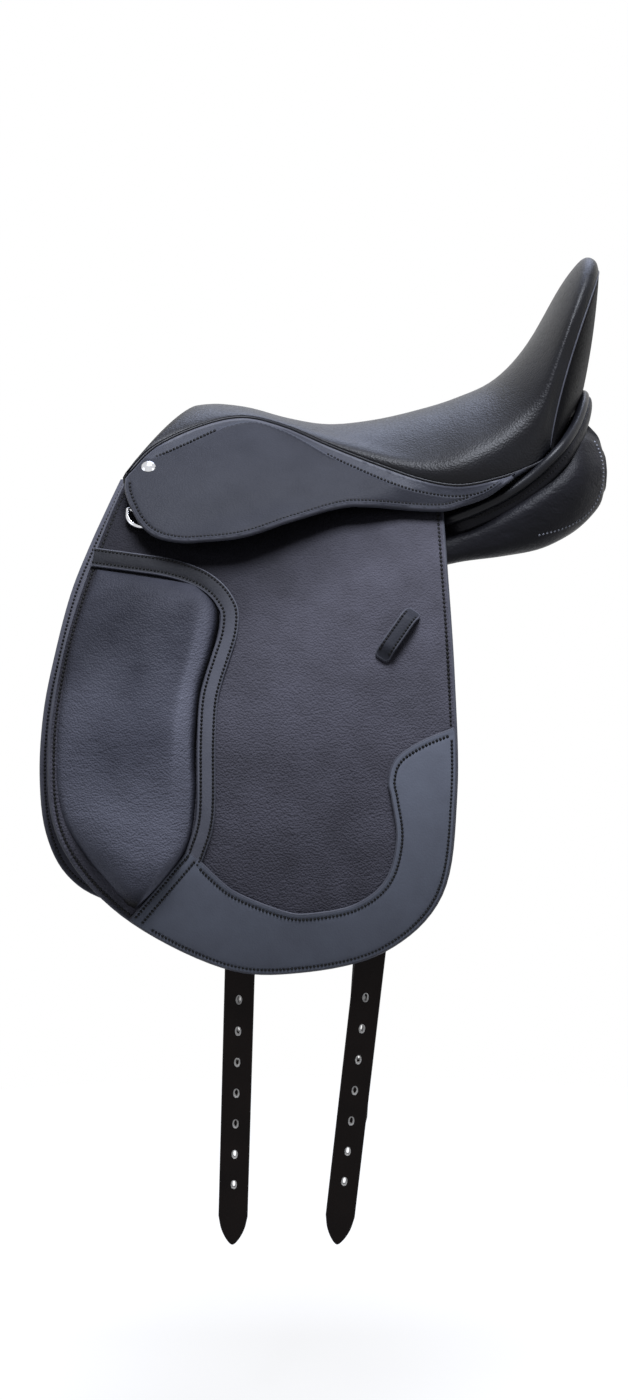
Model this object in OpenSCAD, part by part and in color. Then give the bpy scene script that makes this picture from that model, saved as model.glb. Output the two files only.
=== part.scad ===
// Dressage saddle: seat, skirts, flaps with thigh blocks, panels and girth straps on a moulded tree.
// x runs back towards the cantle, y towards the off side and z up. The near side is at y < 0.
// The origin lies under the deepest point of the seat, at the height where the panels bear.
// All sizes are in millimetres.

/* [Side curve] */
// Radius of the curve that the outer face of a flap follows from seat to hem
side_r = 450; // [430:5:500]
// Half of the width over the two flaps
side_half_w = 235; // [225:5:245]
// How far the widest line of the flaps lies below the origin
side_drop = 250; // [240:5:265]

/* [Leather] */
// Thickness of a flap
flap_t = 5; // [4:0.5:6]
// Thickness of a sweat flap
sweat_t = 4; // [3:0.5:5]
// Thickness of a girth strap
strap_t = 4; // [3:0.5:5]
// Room on each face of a girth strap
strap_room = 2.2; // [2:0.1:3]
// Room between a flap and the skirt above it, for the stirrup bar
skirt_room = 14; // [13.5:0.5:16]
// Thickness of a skirt
skirt_t = 4.5; // [3.5:0.5:5.5]
// Thickness of the seat leather
cover_t = 3; // [2:0.5:4]
// Thickness of the strips and patches sewn on a flap
strip_t = 2.6; // [2:0.2:3.2]

/* [Flap] */
// Reach of a flap in front of the origin
flap_front = 232; // [220:1:240]
// Reach of a flap behind the origin
flap_rear = 105; // [100:1:110]
// Drop of a flap's hem below the origin
flap_low = 339; // [330:1:350]
// Height of the line where a flap bends when it is lifted
flap_bend_z = 7; // [4:0.5:8]
// How far a sweat flap shows in front of the flap
sweat_show = 6; // [4:0.5:8]
// Drop of a sweat flap's lower edge below the origin
sweat_low = 300; // [285:1:310]

/* [Skirt] */
// Reach of a skirt in front of the origin
skirt_front = 175; // [170:1:178]
// Height of a skirt's lowest edge
skirt_low = 13; // [12:0.5:16]
// Height of the front end of the line where a skirt bends
skirt_bend_front_z = 62; // [60:0.5:64]
// Height of the rear end of the line where a skirt bends
skirt_bend_rear_z = 45; // [44:0.5:47]

/* [Seat] */
// Height of the deepest point of the seat
seat_low_z = 119; // [117:0.5:123]
// Height of the pommel
pommel_z = 137; // [134:0.5:140]
// Height of the cantle
cantle_z = 265; // [255:1:275]
// Reach of the cantle behind the origin
cantle_rear = 239; // [234:1:243]
// Thickness of the tree's shell
tree_t = 7; // [6:0.5:8]
// Radius of the piping between seat and skirt
welt_r = 1.5; // [1.2:0.1:1.7]
// Radius of the roll around the foot of the cantle
roll_r = 5; // [4:0.5:5.5]

/* [Thigh block] */
// Height of a thigh block over the flap
block_h = 15; // [10:1:22]
// Width of the strip that binds the rear edge of a block
block_strip_w = 12.5; // [10:0.5:14]

/* [Girth straps] */
// Width of a girth strap
strap_w = 25; // [22:1:28]
// Drop of a girth strap's point below the origin
strap_low = 586; // [575:1:600]
// Radius of a punched hole
hole_r = 2.6; // [2:0.1:3]
// Distance between punched holes
hole_pitch = 28.3; // [26:0.1:29]
// Number of punched holes
hole_count = 7; // [5:1:7]
// Height at which a strap is sewn to its web
strap_top_z = 46; // [44:1:50]
// Width of the end of a girth web under its strap
web_end_w = 12; // [10:1:13]
// Room between a web's end and the strap that swings on it
swing_room = 0.75; // [0.7:0.05:0.9]
// Thickness of a girth web
web_t = 1.5; // [1.2:0.1:1.6]

/* [Metal] */
// Height of the stirrup bars
bar_z = 36; // [34:0.5:38]
// Thickness of a bar's finger
bar_t = 5.5; // [5:0.5:6]
// Width of a bar's finger
bar_w = 12; // [10:0.5:14]
// Length of a bar's catch
catch_l = 24; // [22:1:30]
// Radius of a catch's pivot pin
pin_r = 2; // [1.6:0.1:2.2]
// Radius of a dee's wire
dee_r = 2.2; // [1.6:0.1:2.4]
// Inner half-width of a dee
dee_half_w = 11; // [9:0.5:12]
// Radius of a stud's dome
stud_r = 6.5; // [5:0.5:8]
// Height of a stud's dome
stud_h = 3.5; // [2.5:0.5:4.5]
// Thickness of the head plate
head_t = 6; // [5:0.5:6]
// Width of the head plate
head_w = 40; // [36:1:44]
// Radius of the rivets in the stirrup bars
rivet_r = 2; // [1.5:0.25:2.5]
// Radius of the nails
nail_r = 1.5; // [1.2:0.1:1.8]
// Room for a stirrup leather behind a bar's finger
bar_room = 7; // [6.8:0.1:7.2]

/* [Small leather] */
// Length of a leather keeper
keeper_l = 52; // [46:1:60]
// Width of a leather keeper
keeper_w = 14; // [12:1:18]
// Thickness of a leather keeper
keeper_t = 3; // [2:0.5:4]
// Room under a leather keeper
keeper_room = 6.2; // [5.8:0.1:7]
// Length of each foot of a leather keeper
keeper_foot = 7; // [5:0.5:9]
// Length of the point of a girth strap
strap_point = 26; // [18:1:30]
// Place of the first hole along a girth strap, from the flap's hem
first_hole = -24; // [-28:1:-20]
// Width of a dee's chape
chape_w = 17; // [14:1:18]
// Thickness of a dee's chape
chape_t = 1.8; // [1.5:0.1:2]
// Width of the slot down the tree
tree_slot_w = 18; // [12:1:24]

/* [Hidden] */
$fn = 48;
// Places of the studs and of the nails that hold the dees
stud_x = -155;
stud_z = 79;
dee_x = -158;
dee_nail_z = 53;
// Gap between pieces that lie against each other
fit = 0.3;
// Radial play of a pin in its hole
play = 0.05;
// Centre of the side curve
yc = side_r - side_half_w;
zc = -side_drop;
// Radii of the layers of leather, from the panel outwards
flap_in = side_r - flap_t;
strap_out = flap_in - strap_room;
strap_in = strap_out - strap_t;
sweat_out = strap_in - strap_room;
sweat_in = sweat_out - sweat_t;
skirt_in = side_r + skirt_room;
skirt_out = skirt_in + skirt_t;
strip_in = side_r + fit;

// The node to draw

// Curves

function mix(a, b, t) = a + (b - a) * t;
function blend_of(p0, p1, p2, p3, t) =
    0.5 * (2 * p1 + (p2 - p0) * t + (2 * p0 - 5 * p1 + 4 * p2 - p3) * t * t
        + (3 * p1 - p0 - 3 * p2 + p3) * t * t * t);
// Value of a smooth curve through a list of points, u counted in points
function at(list, u) =
    let (n = len(list), i = min(max(floor(u), 0), n - 2), t = u - i)
    blend_of(
        i > 0 ? list[i - 1] : 2 * list[0] - list[1],
        list[i],
        list[i + 1],
        i < n - 2 ? list[i + 2] : 2 * list[n - 1] - list[n - 2],
        t
    );
// Points of a smooth curve, n to a span
function curve(list, n) =
    [for (i = [0 : (len(list) - 1) * n]) at(list, i / n)];
function reversed(list) = [for (i = [len(list) - 1 : -1 : 0]) list[i]];
function unit(v) = v / norm(v);
// Half-width of the side curve of radius r at height z
function side_y(r, z) = sqrt(r * r - (z - zc) * (z - zc)) - yc;
// Angle of the side curve's outward normal above the horizon
function tilt(r, z) = asin((z - zc) / r);
// Point of the near side curve
function side_pt(x, z, r) = [x, -side_y(r, z), z];

// Solids

// Closed solid between two grids of points with the same rows
module between(a, b) {
    rows = len(a);
    cols = len(a[0]);
    n = rows * cols;
    pts = concat([for (row = a) each row], [for (row = b) each row]);
    faces = concat(
        [for (i = [0 : rows - 2], j = [0 : cols - 2])
            let (p = i * cols + j) each [[p, p + cols, p + 1], [p + 1, p + cols, p + cols + 1]]],
        [for (i = [0 : rows - 2], j = [0 : cols - 2])
            let (p = n + i * cols + j) each [[p, p + 1, p + cols], [p + 1, p + cols + 1, p + cols]]],
        [for (i = [0 : rows - 2])
            let (p = i * cols, q = p + cols) each [[p, n + p, q], [q, n + p, n + q]]],
        [for (i = [0 : rows - 2])
            let (p = i * cols + cols - 1, q = p + cols) each [[p, q, n + p], [q, n + q, n + p]]],
        [for (j = [0 : cols - 2])
            let (p = j, q = j + 1) each [[p, q, n + p], [q, n + q, n + p]]],
        [for (j = [0 : cols - 2])
            let (p = (rows - 1) * cols + j, q = p + 1) each [[p, n + p, q], [q, n + p, n + q]]]
    );
    polyhedron(points = pts, faces = faces);
}

// Closed solid through rings of points
module rings_solid(rings) {
    m = len(rings[0]);
    k = len(rings);
    pts = [for (ring = rings) each ring];
    faces = concat(
        [for (i = [0 : k - 2], j = [0 : m - 1])
            let (a = i * m + j, b = i * m + (j + 1) % m)
            each [[a, b, a + m], [b, b + m, a + m]]],
        [for (j = [1 : m - 2]) [0, j + 1, j]],
        [for (j = [1 : m - 2]) let (e = (k - 1) * m) [e, e + j, e + j + 1]]
    );
    polyhedron(points = pts, faces = faces);
}

// Rings of a flat section carried along a path, its first direction square to the path and to ref
function carried(path, section, ref) =
    [for (i = [0 : len(path) - 1])
        let (
            t = unit(path[min(i + 1, len(path) - 1)] - path[max(i - 1, 0)]),
            s = unit(cross(ref, t)),
            w = cross(t, s)
        )
        [for (p = section) path[i] + p[0] * s + p[1] * w]];
function round_section(r, n) = [for (i = [0 : n - 1]) r * [cos(360 * i / n), sin(360 * i / n)]];

// Prism of an outline in x and z through the near side
module prism(outline) {
    rotate([90, 0, 0])
        linear_extrude(height = side_half_w + 60)
            polygon(outline);
}

// Sheet of leather on the near side curve, cut to an outline in x and z
module sheet(outline, r_in, r_out) {
    intersection() {
        prism(outline);
        translate([-300, yc, zc])
            rotate([0, 90, 0])
                difference() {
                    cylinder(r = r_out, h = 600, $fn = 180);
                    translate([0, 0, -1]) cylinder(r = r_in, h = 602, $fn = 180);
                }
    }
}

// Puts children on the near side: x stays, y runs up the side, z outwards
module on_side(x, z, r) {
    translate([x, -side_y(r, z), z])
        rotate([90 - tilt(r, z), 0, 0])
            children();
}

module off_side() {
    mirror([0, 1, 0]) children();
}

// Seat lines

// Middle of the seat from pommel to rim, x and z
ridge = [
    [-117, pommel_z - 1], [-108, pommel_z], [-95, pommel_z], [-70, pommel_z - 3.5],
    [-35, seat_low_z + 5], [0, seat_low_z], [40, seat_low_z + 4], [80, seat_low_z + 13],
    [115, seat_low_z + 24], [150, seat_low_z + 41], [180, seat_low_z + 74],
    [cantle_rear - 34, cantle_z - 26], [cantle_rear - 13, cantle_z],
    [cantle_rear, cantle_z - 6]
];
// Near edge of the seat along the skirt, x and z
edge = [
    [-skirt_front, 70], [-150, 97], [-112, 116], [-76, 124.5],
    [-40, 116.5], [0, 99], [40, 83], [80, 69],
    [112, 64], [145, 71], [168, 77],
    [180, 81], [186, 84],
    [189, 86]
];
last_u = len(ridge) - 1;
// Shares of the seat's rise and of its half-width that the tree takes
tree_share = [0.8, 0.75, 0.6, 0.45, 0.3, 0.3, 0.32, 0.35, 0.38, 0.45, 0.55, 0.68, 0.76, 0.8];
tree_width = [0.88, 0.862, 0.8, 0.782, 0.651, 0.533, 0.541, 0.593, 0.618, 0.65, 0.664, 0.686, 0.74, 0.789];
// How full the seat is across, and how its stations bow
function fullness(u) = mix(1, 1.6, sin(180 * u / last_u));
function bow(u) = mix(1.6, 2.6, u / last_u);
// Point of the seat: v from -1 at the near edge to 1 at the off edge, k the share of the rise,
// d how far it lies under the outer face
function seat_pt(u, v, k, d, half) =
    let (
        m = at(ridge, u),
        e = at(edge, u),
        rise = max(0.2, k * (m[1] - e[1]) - d),
        f = pow(1 - pow(min(abs(v), 1), 2.1), 1 / fullness(u))
    )
    [mix(m[0], e[0], pow(abs(v), bow(u))), v * half, e[1] + rise * f];
function seat_half(u) = side_y(skirt_out, at(edge, u)[1]);
function tree_half(u) = seat_half(u) * at(tree_width, u);
// Stations along the seat and across it
seat_u = [for (i = [0 : 2 * last_u]) i / 2];
foam_u = [for (i = [0 : 2 * last_u - 1]) i / 2];
tree_u = [for (i = [0 : 2 * last_u - 2]) i / 2];
seat_v = [for (j = [-6 : 6]) sin(90 * j / 6)];
// Underside of the foam
function foam_under(u, v) =
    seat_pt(u, v, at(tree_share, u), cover_t + fit, tree_half(u) + 2);
// The tree lies a web's thickness under the foam; at the cantle it stands behind it
function tree_way(u) =
    let (s = max(0, (u - 9) / (last_u - 9)))
    [0.8 * s, 0, -mix(1, 0.5, s)];
tree_sink = web_t + 2 * fit;
function tree_top(u, v) =
    let (p = foam_under(u, v))
    [p[0], v * tree_half(u), p[2]] + tree_sink * tree_way(u);
function tree_under(u, v) = tree_top(u, v) + tree_t * tree_way(u);

// Tree: a moulded shell with a slot down the middle
module tree() {
    color("#6b5334")
        difference() {
            between(
                [for (u = tree_u) [for (v = seat_v) tree_top(u, v)]],
                [for (u = tree_u) [for (v = seat_v) tree_under(u, v)]]
            );
            translate([-30, -tree_slot_w / 2, 0]) cube([150, tree_slot_w, 200]);
        }
}

// Mirrors a row of near-side points to the off side, so that the row runs on
function mirrored(row) = reversed([for (p = row) [p[0], -p[1], p[2]]]);

// Head plate: an arch under the pommel whose arms carry the stirrup bars
head_u = 1.5;
arm_r = sweat_out + 0.4 + head_t / 2;
arm_x = -130;
function head_arm(x, d) = [for (z = [12, 40, 60]) side_pt(x, z, arm_r + d)];
function head_row(u, x, d) = concat(
    head_arm(x, d),
    [for (v = seat_v) tree_under(u, v) - [0, 0, fit + head_t / 2 - d]],
    mirrored(head_arm(x, d))
);
function head_face(d) =
    [for (i = [-1 : 1]) head_row(head_u + i / 2, arm_x + i * head_w / 2, d)];
module head_plate() {
    color("#8d9094")
        difference() {
            between(head_face(head_t / 2), head_face(-head_t / 2));
            for (s = [0, 1])
                mirror([0, s, 0]) rivet_places() translate([0, 0, -30]) cylinder(r = rivet_r + play, h = 40);
        }
}

// Girth web: from a near strap over the tree to the off strap
web_r = strap_in - swing_room - web_t / 2;
// Point of the side turned with a strap about the place where the strap is sewn on
function hung(x, slant, p) =
    let (drop = p[2] - strap_top_z)
    [x + p[0] * cos(slant) + drop * sin(slant), p[1], strap_top_z - p[0] * sin(slant) + drop * cos(slant)];
// Line of a web down the near side from station u; e is its place across the web, d how far out it lies
function web_side(x, slant, u, e, d) =
    let (h = tree_half(u), p = at(edge, u))
    concat(
        [for (z = [strap_top_z - 12, strap_top_z]) hung(x, slant, side_pt(e * web_end_w / 2, z, web_r + d))],
        [
            [p[0], -h - 1.6 - d, p[1] - tree_sink - tree_t - 1],
            [p[0], -h - 1.4 - d, p[1] - tree_sink - 1],
            [p[0], -h - 0.9 - d, p[1] - 1.3 + d]
        ]
    );
function web_row(x, slants, u, e, d) = concat(
    web_side(x, slants[0], u, e, d),
    [for (j = [1 : len(seat_v) - 2])
        let (p = foam_under(u, seat_v[j]))
        [p[0], seat_v[j] * tree_half(u), p[2] - fit - web_t / 2 + d]],
    mirrored(web_side(x, slants[1], u, e, d))
);
function web_face(x, slants, u, d) = [for (e = [-1 : 1]) web_row(x, slants, u + e / 2, e, d)];
module girth_web(x, slants, u) {
    color("#c9c2ae")
        between(web_face(x, slants, u, web_t / 2), web_face(x, slants, u, -web_t / 2));
}
module front_girth_web() girth_web(front_strap_x, [near_front_slant, off_front_slant], 3.5);
module rear_girth_web() girth_web(rear_strap_x, [near_rear_slant, off_rear_slant], 7);

module seat_foam() {
    color("#d8cfa8")
        between(
            [for (u = foam_u) [for (v = seat_v)
                seat_pt(u, v, 1, cover_t + fit, seat_half(u) - cover_t - fit)]],
            [for (u = foam_u) [for (v = seat_v) foam_under(u, v)]]
        );
}

module seat_cover() {
    color("#1c1d20")
        between(
            [for (u = seat_u) [for (v = seat_v) seat_pt(u, v, 1, 0, seat_half(u))]],
            [for (u = seat_u) [for (v = seat_v) seat_pt(u, v, 1, cover_t, seat_half(u) - cover_t)]]
        );
}

// Cantle facing: leather over the back of the cantle
cantle_half = seat_half(last_u);
function rim_pt(v) = seat_pt(last_u, v, 1, 0, seat_half(last_u));
function foot_pt(v) =
    [mix(cantle_rear - 13, 189.3, pow(abs(v), 1.8)), v * (cantle_half - 0.5),
        84 + 68 * pow(1 - pow(abs(v), 1.7), 0.8)];
// The facing thins out towards its ends
function facing_pt(s, v, out) =
    mix(rim_pt(v), foot_pt(v), s) + [out * (1 - 0.7 * pow(v, 8)) + 4 * sin(180 * s) * (1 - v * v), 0, 0];
module cantle_facing() {
    rows = [for (s = [0 : 6]) s / 6];
    color("#212226")
        between(
            [for (s = rows) [for (v = seat_v) facing_pt(s, v, fit + cover_t)]],
            [for (s = rows) [for (v = seat_v) facing_pt(s, v, fit)]]
        );
}

// Roll of leather around the foot of the cantle
roll_line = [
    [108, -cantle_half - 16.5, 36], [126, -cantle_half - 14.5, 41.5], [145, -cantle_half - 13.5, 49],
    [167, -cantle_half - 11.5, 61], [184, -cantle_half - 9.5, 76], [197, -cantle_half - 1.5, 91],
    [213, -0.664 * cantle_half, 113], [222, -0.36 * cantle_half, 133]
];
function both_sides(half, middle) = concat(half, [middle], mirrored(half));
module cantle_roll() {
    path = curve(both_sides(roll_line, [cantle_rear - 13, 0, 145]), 2);
    color("#17181a")
        rings_solid(carried(path, round_section(roll_r, 8), [0, 0, 1]));
}

// Piping between the seat and a skirt
welt_room = welt_r + fit;
// Point below the seat's edge, d square to the edge
function edge_below(u, d) =
    let (t = unit(at(edge, u + 0.1) - at(edge, u - 0.1)))
    at(edge, u) + d * [t[1], -t[0]];
module near_seat_welt() {
    line = [for (i = [1 : 21])
        let (e = edge_below(i / 2, welt_room)) side_pt(e[0], e[1], skirt_out - welt_r - 0.6)];
    color("#121315")
        rings_solid(carried(line, round_section(welt_r, 6), [0, 0, 1]));
}
module off_seat_welt() off_side() near_seat_welt();

// Skirt
skirt_edge = curve([
    [-skirt_front, 62], [-skirt_front + 4, 44], [-158, 25], [-132, skirt_low + 1.5],
    [-108, skirt_low], [-71, skirt_low + 3.5], [-29, 31], [8, 43], [34, 44.5],
    [90, 39.5], [123, 44], [150, 55], [163, 65]
], 4);
skirt_line = concat(
    [for (i = [0 : 20]) edge_below(i / 2, 2 * welt_room + fit)],
    reversed(skirt_edge)
);
skirt_mid = (skirt_in + skirt_out) / 2;
// Line on which the skirt bends, and directions along it, up the side and outwards
bend_end_x = 12;
bend_a = side_pt(-skirt_front, skirt_bend_front_z, skirt_mid);
bend_b = side_pt(bend_end_x, skirt_bend_rear_z, skirt_mid);
bend_x = unit(bend_b - bend_a);
bend_z0 = let (t = tilt(skirt_mid, (bend_a[2] + bend_b[2]) / 2)) [0, -cos(t), sin(t)];
bend_y = unit(cross(bend_z0, bend_x));
bend_z = cross(bend_x, bend_y);
module at_skirt_bend() {
    multmatrix([
        [bend_x[0], bend_y[0], bend_z[0], bend_a[0]],
        [bend_x[1], bend_y[1], bend_z[1], bend_a[1]],
        [bend_x[2], bend_y[2], bend_z[2], bend_a[2]],
        [0, 0, 0, 1]
    ])
        children();
}
bend_room = 0.4;
module near_skirt() {
    color("#1b1c1f") {
        difference() {
            sheet(skirt_line, skirt_in, skirt_out);
            at_skirt_bend() translate([-40, 0, -40]) cube([300, 200, 80]);
            translate([bend_end_x, -300, -50]) cube([300, 300, 200]);
        }
        intersection() {
            prism(skirt_line);
            at_skirt_bend() translate([-20, 0, 0]) rotate([0, 90, 0]) cylinder(r = skirt_t / 2, h = 250);
            translate([bend_end_x - 300, -300, -50]) cube([300, 300, 200]);
        }
    }
}
module near_skirt_top() {
    color("#202125")
        difference() {
            sheet(skirt_line, skirt_in, skirt_out);
            intersection() {
                at_skirt_bend()
                    translate([-40, -150 + skirt_t / 2 + bend_room, -40]) cube([300, 150, 80]);
                translate([bend_end_x + 0.8 - 300, -300, -100]) cube([300, 300, 300]);
            }
            on_side(stud_x, stud_z, skirt_out) cylinder(r = nail_r + 0.2, h = 40, center = true);
        }
}
module off_skirt() off_side() near_skirt();
module off_skirt_top() off_side() near_skirt_top();

// Flap
flap_edge = curve([
    [-flap_front + 53, 62], [-flap_front + 30, -2], [-flap_front + 9, -78], [-flap_front, -158],
    [-flap_front + 10, -229], [-flap_front + 60, -290], [-90, 4.5 - flap_low], [-25, -flap_low],
    [45, 18 - flap_low], [flap_rear - 13, 66 - flap_low], [flap_rear - 1, -190],
    [flap_rear - 2, -100], [flap_rear - 6, -8], [flap_rear - 8, 44]
], 5);
flap_line = concat(
    flap_edge,
    [[80, 50], [40, 64], [0, 79], [-40, 84], [-102, 84], [-106, 61]]
);
flap_mid = (flap_in + side_r) / 2;
module at_flap_bend() {
    on_side(0, flap_bend_z, flap_mid) children();
}
module near_flap() {
    color("#1e2023") {
        difference() {
            sheet(flap_line, flap_in, side_r);
            at_flap_bend() translate([-300, 0, -60]) cube([600, 200, 120]);
        }
        intersection() {
            prism(flap_line);
            at_flap_bend() rotate([0, 90, 0]) cylinder(r = flap_t / 2, h = 600, center = true);
        }
    }
}
module near_flap_top() {
    color("#26282c")
        difference() {
            sheet(flap_line, flap_in, side_r);
            at_flap_bend() translate([-300, -400 + flap_t / 2 + bend_room, -200]) cube([600, 400, 300]);
            on_side(0, bar_z, side_r)
                translate([bar_x - 0.5, -bar_plate_h / 2 - 0.5, -20])
                    cube([bar_plate_l + bar_neck_l + 1, bar_plate_h + 1, 40]);
            on_side(dee_x, dee_nail_z, side_r) cylinder(r = nail_r + 0.2, h = 40, center = true);
        }
}
module off_flap() off_side() near_flap();
module off_flap_top() off_side() near_flap_top();

// Thigh block: a padded form between the flap's front edge and the block strip
block_front = [
    [-196, -13], [-208, -50], [-217, -95], [-222, -140], [-222, -180], [-216, -212],
    [-200, -240], [-181, -262], [-165, -279]
];
block_rear = [
    [-112, -24], [-96, -46], [-98, -76], [-107, -110], [-113, -150], [-113, -195],
    [-119, -232], [-136, -258], [-158, -281]
];
block_rows = 12;
block_cols = 7;
function block_pt(s, t, h) =
    let (
        a = at(block_front, s * (len(block_front) - 1)),
        b = at(block_rear, s * (len(block_rear) - 1)),
        p = mix(a, b, t),
        crown = pow(max(0, 1 - pow(abs(2 * t - 1), 3)), 0.6) * pow(max(0, 1 - pow(abs(2 * s - 1), 6)), 0.5)
    )
    side_pt(p[0], p[1], strip_in + 0.2 + h * (0.12 + 0.88 * crown));
module near_thigh_block() {
    color("#1a1b1e")
        between(
            [for (i = [0 : block_rows]) [for (j = [0 : block_cols])
                block_pt(i / block_rows, j / block_cols, block_h)]],
            [for (i = [0 : block_rows]) [for (j = [0 : block_cols])
                block_pt(i / block_rows, j / block_cols, 0)]]
        );
}
module off_thigh_block() off_side() near_thigh_block();

// Strip that binds the top and rear edge of a thigh block
strip_mid = [
    [-197, -4], [-147, -6], [-105, -17.5], [-88, -35], [-84, -51], [-90, -81],
    [-101, -122], [-103.5, -164], [-103, -207], [-110, -236], [-132, -266], [-160, -295]
];
function beside(list, d) =
    let (c = curve(list, 4))
    [for (i = [0 : len(c) - 1])
        let (t = unit(c[min(i + 1, len(c) - 1)] - c[max(i - 1, 0)]))
        c[i] + d * [-t[1], t[0]]];
module near_block_strip() {
    color("#2a2c31")
        sheet(
            concat(
                beside(strip_mid, block_strip_w / 2),
                reversed(beside(strip_mid, -block_strip_w / 2))
            ),
            strip_in,
            strip_in + strip_t
        );
}
module off_block_strip() off_side() near_block_strip();

// Smooth patch that takes the wear along the hem
patch_top = [
    [-105, -244], [-90, -260], [-74, -271], [-37, -285.5], [-15, -287], [20, -279.5], [44.5, -259.5],
    [53.5, -226.5], [49.5, -194], [47, -179], [53, -161], [73, -147], [flap_rear - 5, -135.5]
];
patch_hem = [
    [flap_rear - 5, -190], [flap_rear - 16, 66 - flap_low], [42, 22 - flap_low], [-25, 4 - flap_low],
    [-88, 8 - flap_low], [-148, 36 - flap_low], [-146, -292], [-126, -272]
];
module near_wear_patch() {
    color("#555b66")
        sheet(
            concat(curve(patch_top, 4), curve(patch_hem, 4)),
            strip_in,
            strip_in + strip_t - 0.6
        );
}
module off_wear_patch() off_side() near_wear_patch();

// Keeper for the end of a stirrup leather
module near_leather_keeper() {
    color("#232429")
        on_side(56, -62, side_r)
            rotate([0, 0, 56])
                translate([-keeper_l / 2, -keeper_w / 2, fit])
                    difference() {
                        cube([keeper_l, keeper_w, keeper_room + keeper_t]);
                        translate([keeper_foot, -1, -1])
                            cube([keeper_l - 2 * keeper_foot, keeper_w + 2, keeper_room + 1]);
                    }
}
module off_leather_keeper() off_side() near_leather_keeper();

// Sweat flap
sweat_x = -flap_front - sweat_show;
sweat_line = concat(
    curve([
        [sweat_x + 62, 79], [sweat_x + 49, 51], [sweat_x + 34, 10], [sweat_x + 21, -29],
        [sweat_x + 10, -78], [sweat_x + 2, -125], [sweat_x, -176], [sweat_x + 6, -222],
        [sweat_x + 24, -256], [-180, -276], [-110, 5 - sweat_low], [-30, -sweat_low],
        [45, 10 - sweat_low], [84, -248], [flap_rear - 13, -150], [flap_rear - 14, -20],
        [flap_rear - 14, 30]
    ], 4),
    [[60, 30], [-92, 30], [-104, 76]]
);
module near_sweat_flap() {
    color("#18191b") sheet(sweat_line, sweat_in, sweat_out);
}
module off_sweat_flap() off_side() near_sweat_flap();

// Panel: x, then half-width and height of its inner top, inner foot, outer foot, side and outer top
panel_rows = [
    [-168, [66, 74], [72, 48], [128, -10], [132, 14], [112, 46]],
    [-120, [52, 82], [52, 52], [140, -24], [138, 5], [104, 56]],
    [-60, [42, 94], [40, 46], [142, -28], [140, 0], [92, 66]],
    [0, [38, 76], [36, 26], [138, -24], [136, 2], [96, 56]],
    [60, [38, 56], [34, 14], [134, -14], [132, 8], [94, 42]],
    [110, [38, 52], [34, 8], [118, -3], [128, 14], [114, 26]],
    [150, [38, 72], [34, 12], [114, 3], [127, 26], [116, 40]],
    [185, [38, 94], [36, 24], [106, 13], [121, 44], [102, 57]],
    [215, [40, 118], [38, 40], [94, 32], [109, 66], [78, 99]],
    [234, [46, 112], [46, 58], [78, 50], [88, 75], [70, 99]],
    [243, [56, 92], [56, 78], [66, 73], [71, 82], [65, 92]]
];
function panel_corner(u, k) = at([for (row = panel_rows) row[k]], u);
// The rows are drawn for a half-width of 138 and spread with the sweat flap
panel_spread = side_y(sweat_in, 0) / 138;
// The side keeps inside the sweat flap as far as that reaches
function panel_clip(p) =
    let (
        r = sweat_in - fit + max(0, (p[0] - flap_rear + 4) * 3),
        most = side_y(r, p[2])
    )
    [p[0], -min(-p[1], most), p[2]];
function panel_ring(u) =
    let (
        x = at([for (row = panel_rows) row[0]], u),
        line = curve([for (k = [1 : 5]) panel_corner(u, k)], 3),
        // The curve's second point lies in line with those beside it, so the ring leaves it out
        side = concat([line[0]], [for (i = [2 : len(line) - 1]) line[i]]),
        a = panel_corner(u, 5),
        b = panel_corner(u, 1)
    )
    [for (p = concat(side, [mix(a, b, 0.33) + [0, 2], mix(a, b, 0.67) + [0, 2]]))
        panel_clip([x, -p[0] * panel_spread, p[1]])];
module near_panel() {
    color("#141517")
        rings_solid([for (i = [0 : 2 * (len(panel_rows) - 1)]) panel_ring(i / 2)]);
}
module off_panel() off_side() near_panel();

// Stirrup bar: a plate on the head plate's arm, a neck and an open finger
bar_x = -143;
bar_plate_l = 26;
bar_plate_h = 26;
bar_neck_l = 12;
bar_end_x = -52;
bar_low = bar_room;
plate_low = arm_r + head_t / 2 + 0.35 - side_r;
catch_x = bar_end_x + 10;
module rivet_places() {
    for (y = [-7, 7])
        on_side(bar_x + 11, bar_z, side_r) translate([0, y, 0]) children();
}
module near_stirrup_bar() {
    color("#b9bcc0")
        difference() {
            on_side(0, bar_z, side_r) {
                translate([bar_x, -bar_plate_h / 2, plate_low])
                    cube([bar_plate_l, bar_plate_h, 5]);
                translate([bar_x + bar_plate_l - 2, -bar_w / 2, plate_low])
                    cube([bar_neck_l + 2, bar_w, bar_low + bar_t - plate_low]);
                translate([bar_x + bar_plate_l, -bar_w / 2, bar_low])
                    cube([bar_end_x - bar_x - bar_plate_l, bar_w, bar_t]);
                translate([bar_end_x - 1, -bar_w / 2, bar_low])
                    cube([catch_x - bar_end_x + 1, bar_w, bar_t / 2 - 0.1]);
                translate([catch_x, 0, bar_low])
                    cylinder(r = bar_w / 2, h = bar_t / 2 - 0.1);
            }
            on_side(catch_x, bar_z, side_r) cylinder(r = pin_r + play, h = 40);
            rivet_places() translate([0, 0, -30]) cylinder(r = rivet_r + play, h = 40);
        }
}
module off_stirrup_bar() off_side() near_stirrup_bar();

// Rivets that hold the bars on the head plate
module bar_rivets() {
    color("#a3a6aa")
        for (s = [0, 1])
            mirror([0, s, 0])
                rivet_places() {
                    translate([0, 0, plate_low - head_t - 0.3])
                        cylinder(r = rivet_r, h = head_t + 5.3);
                    translate([0, 0, plate_low + 5.05]) cylinder(r = rivet_r + 1.5, h = 1.2);
                }
}

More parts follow.
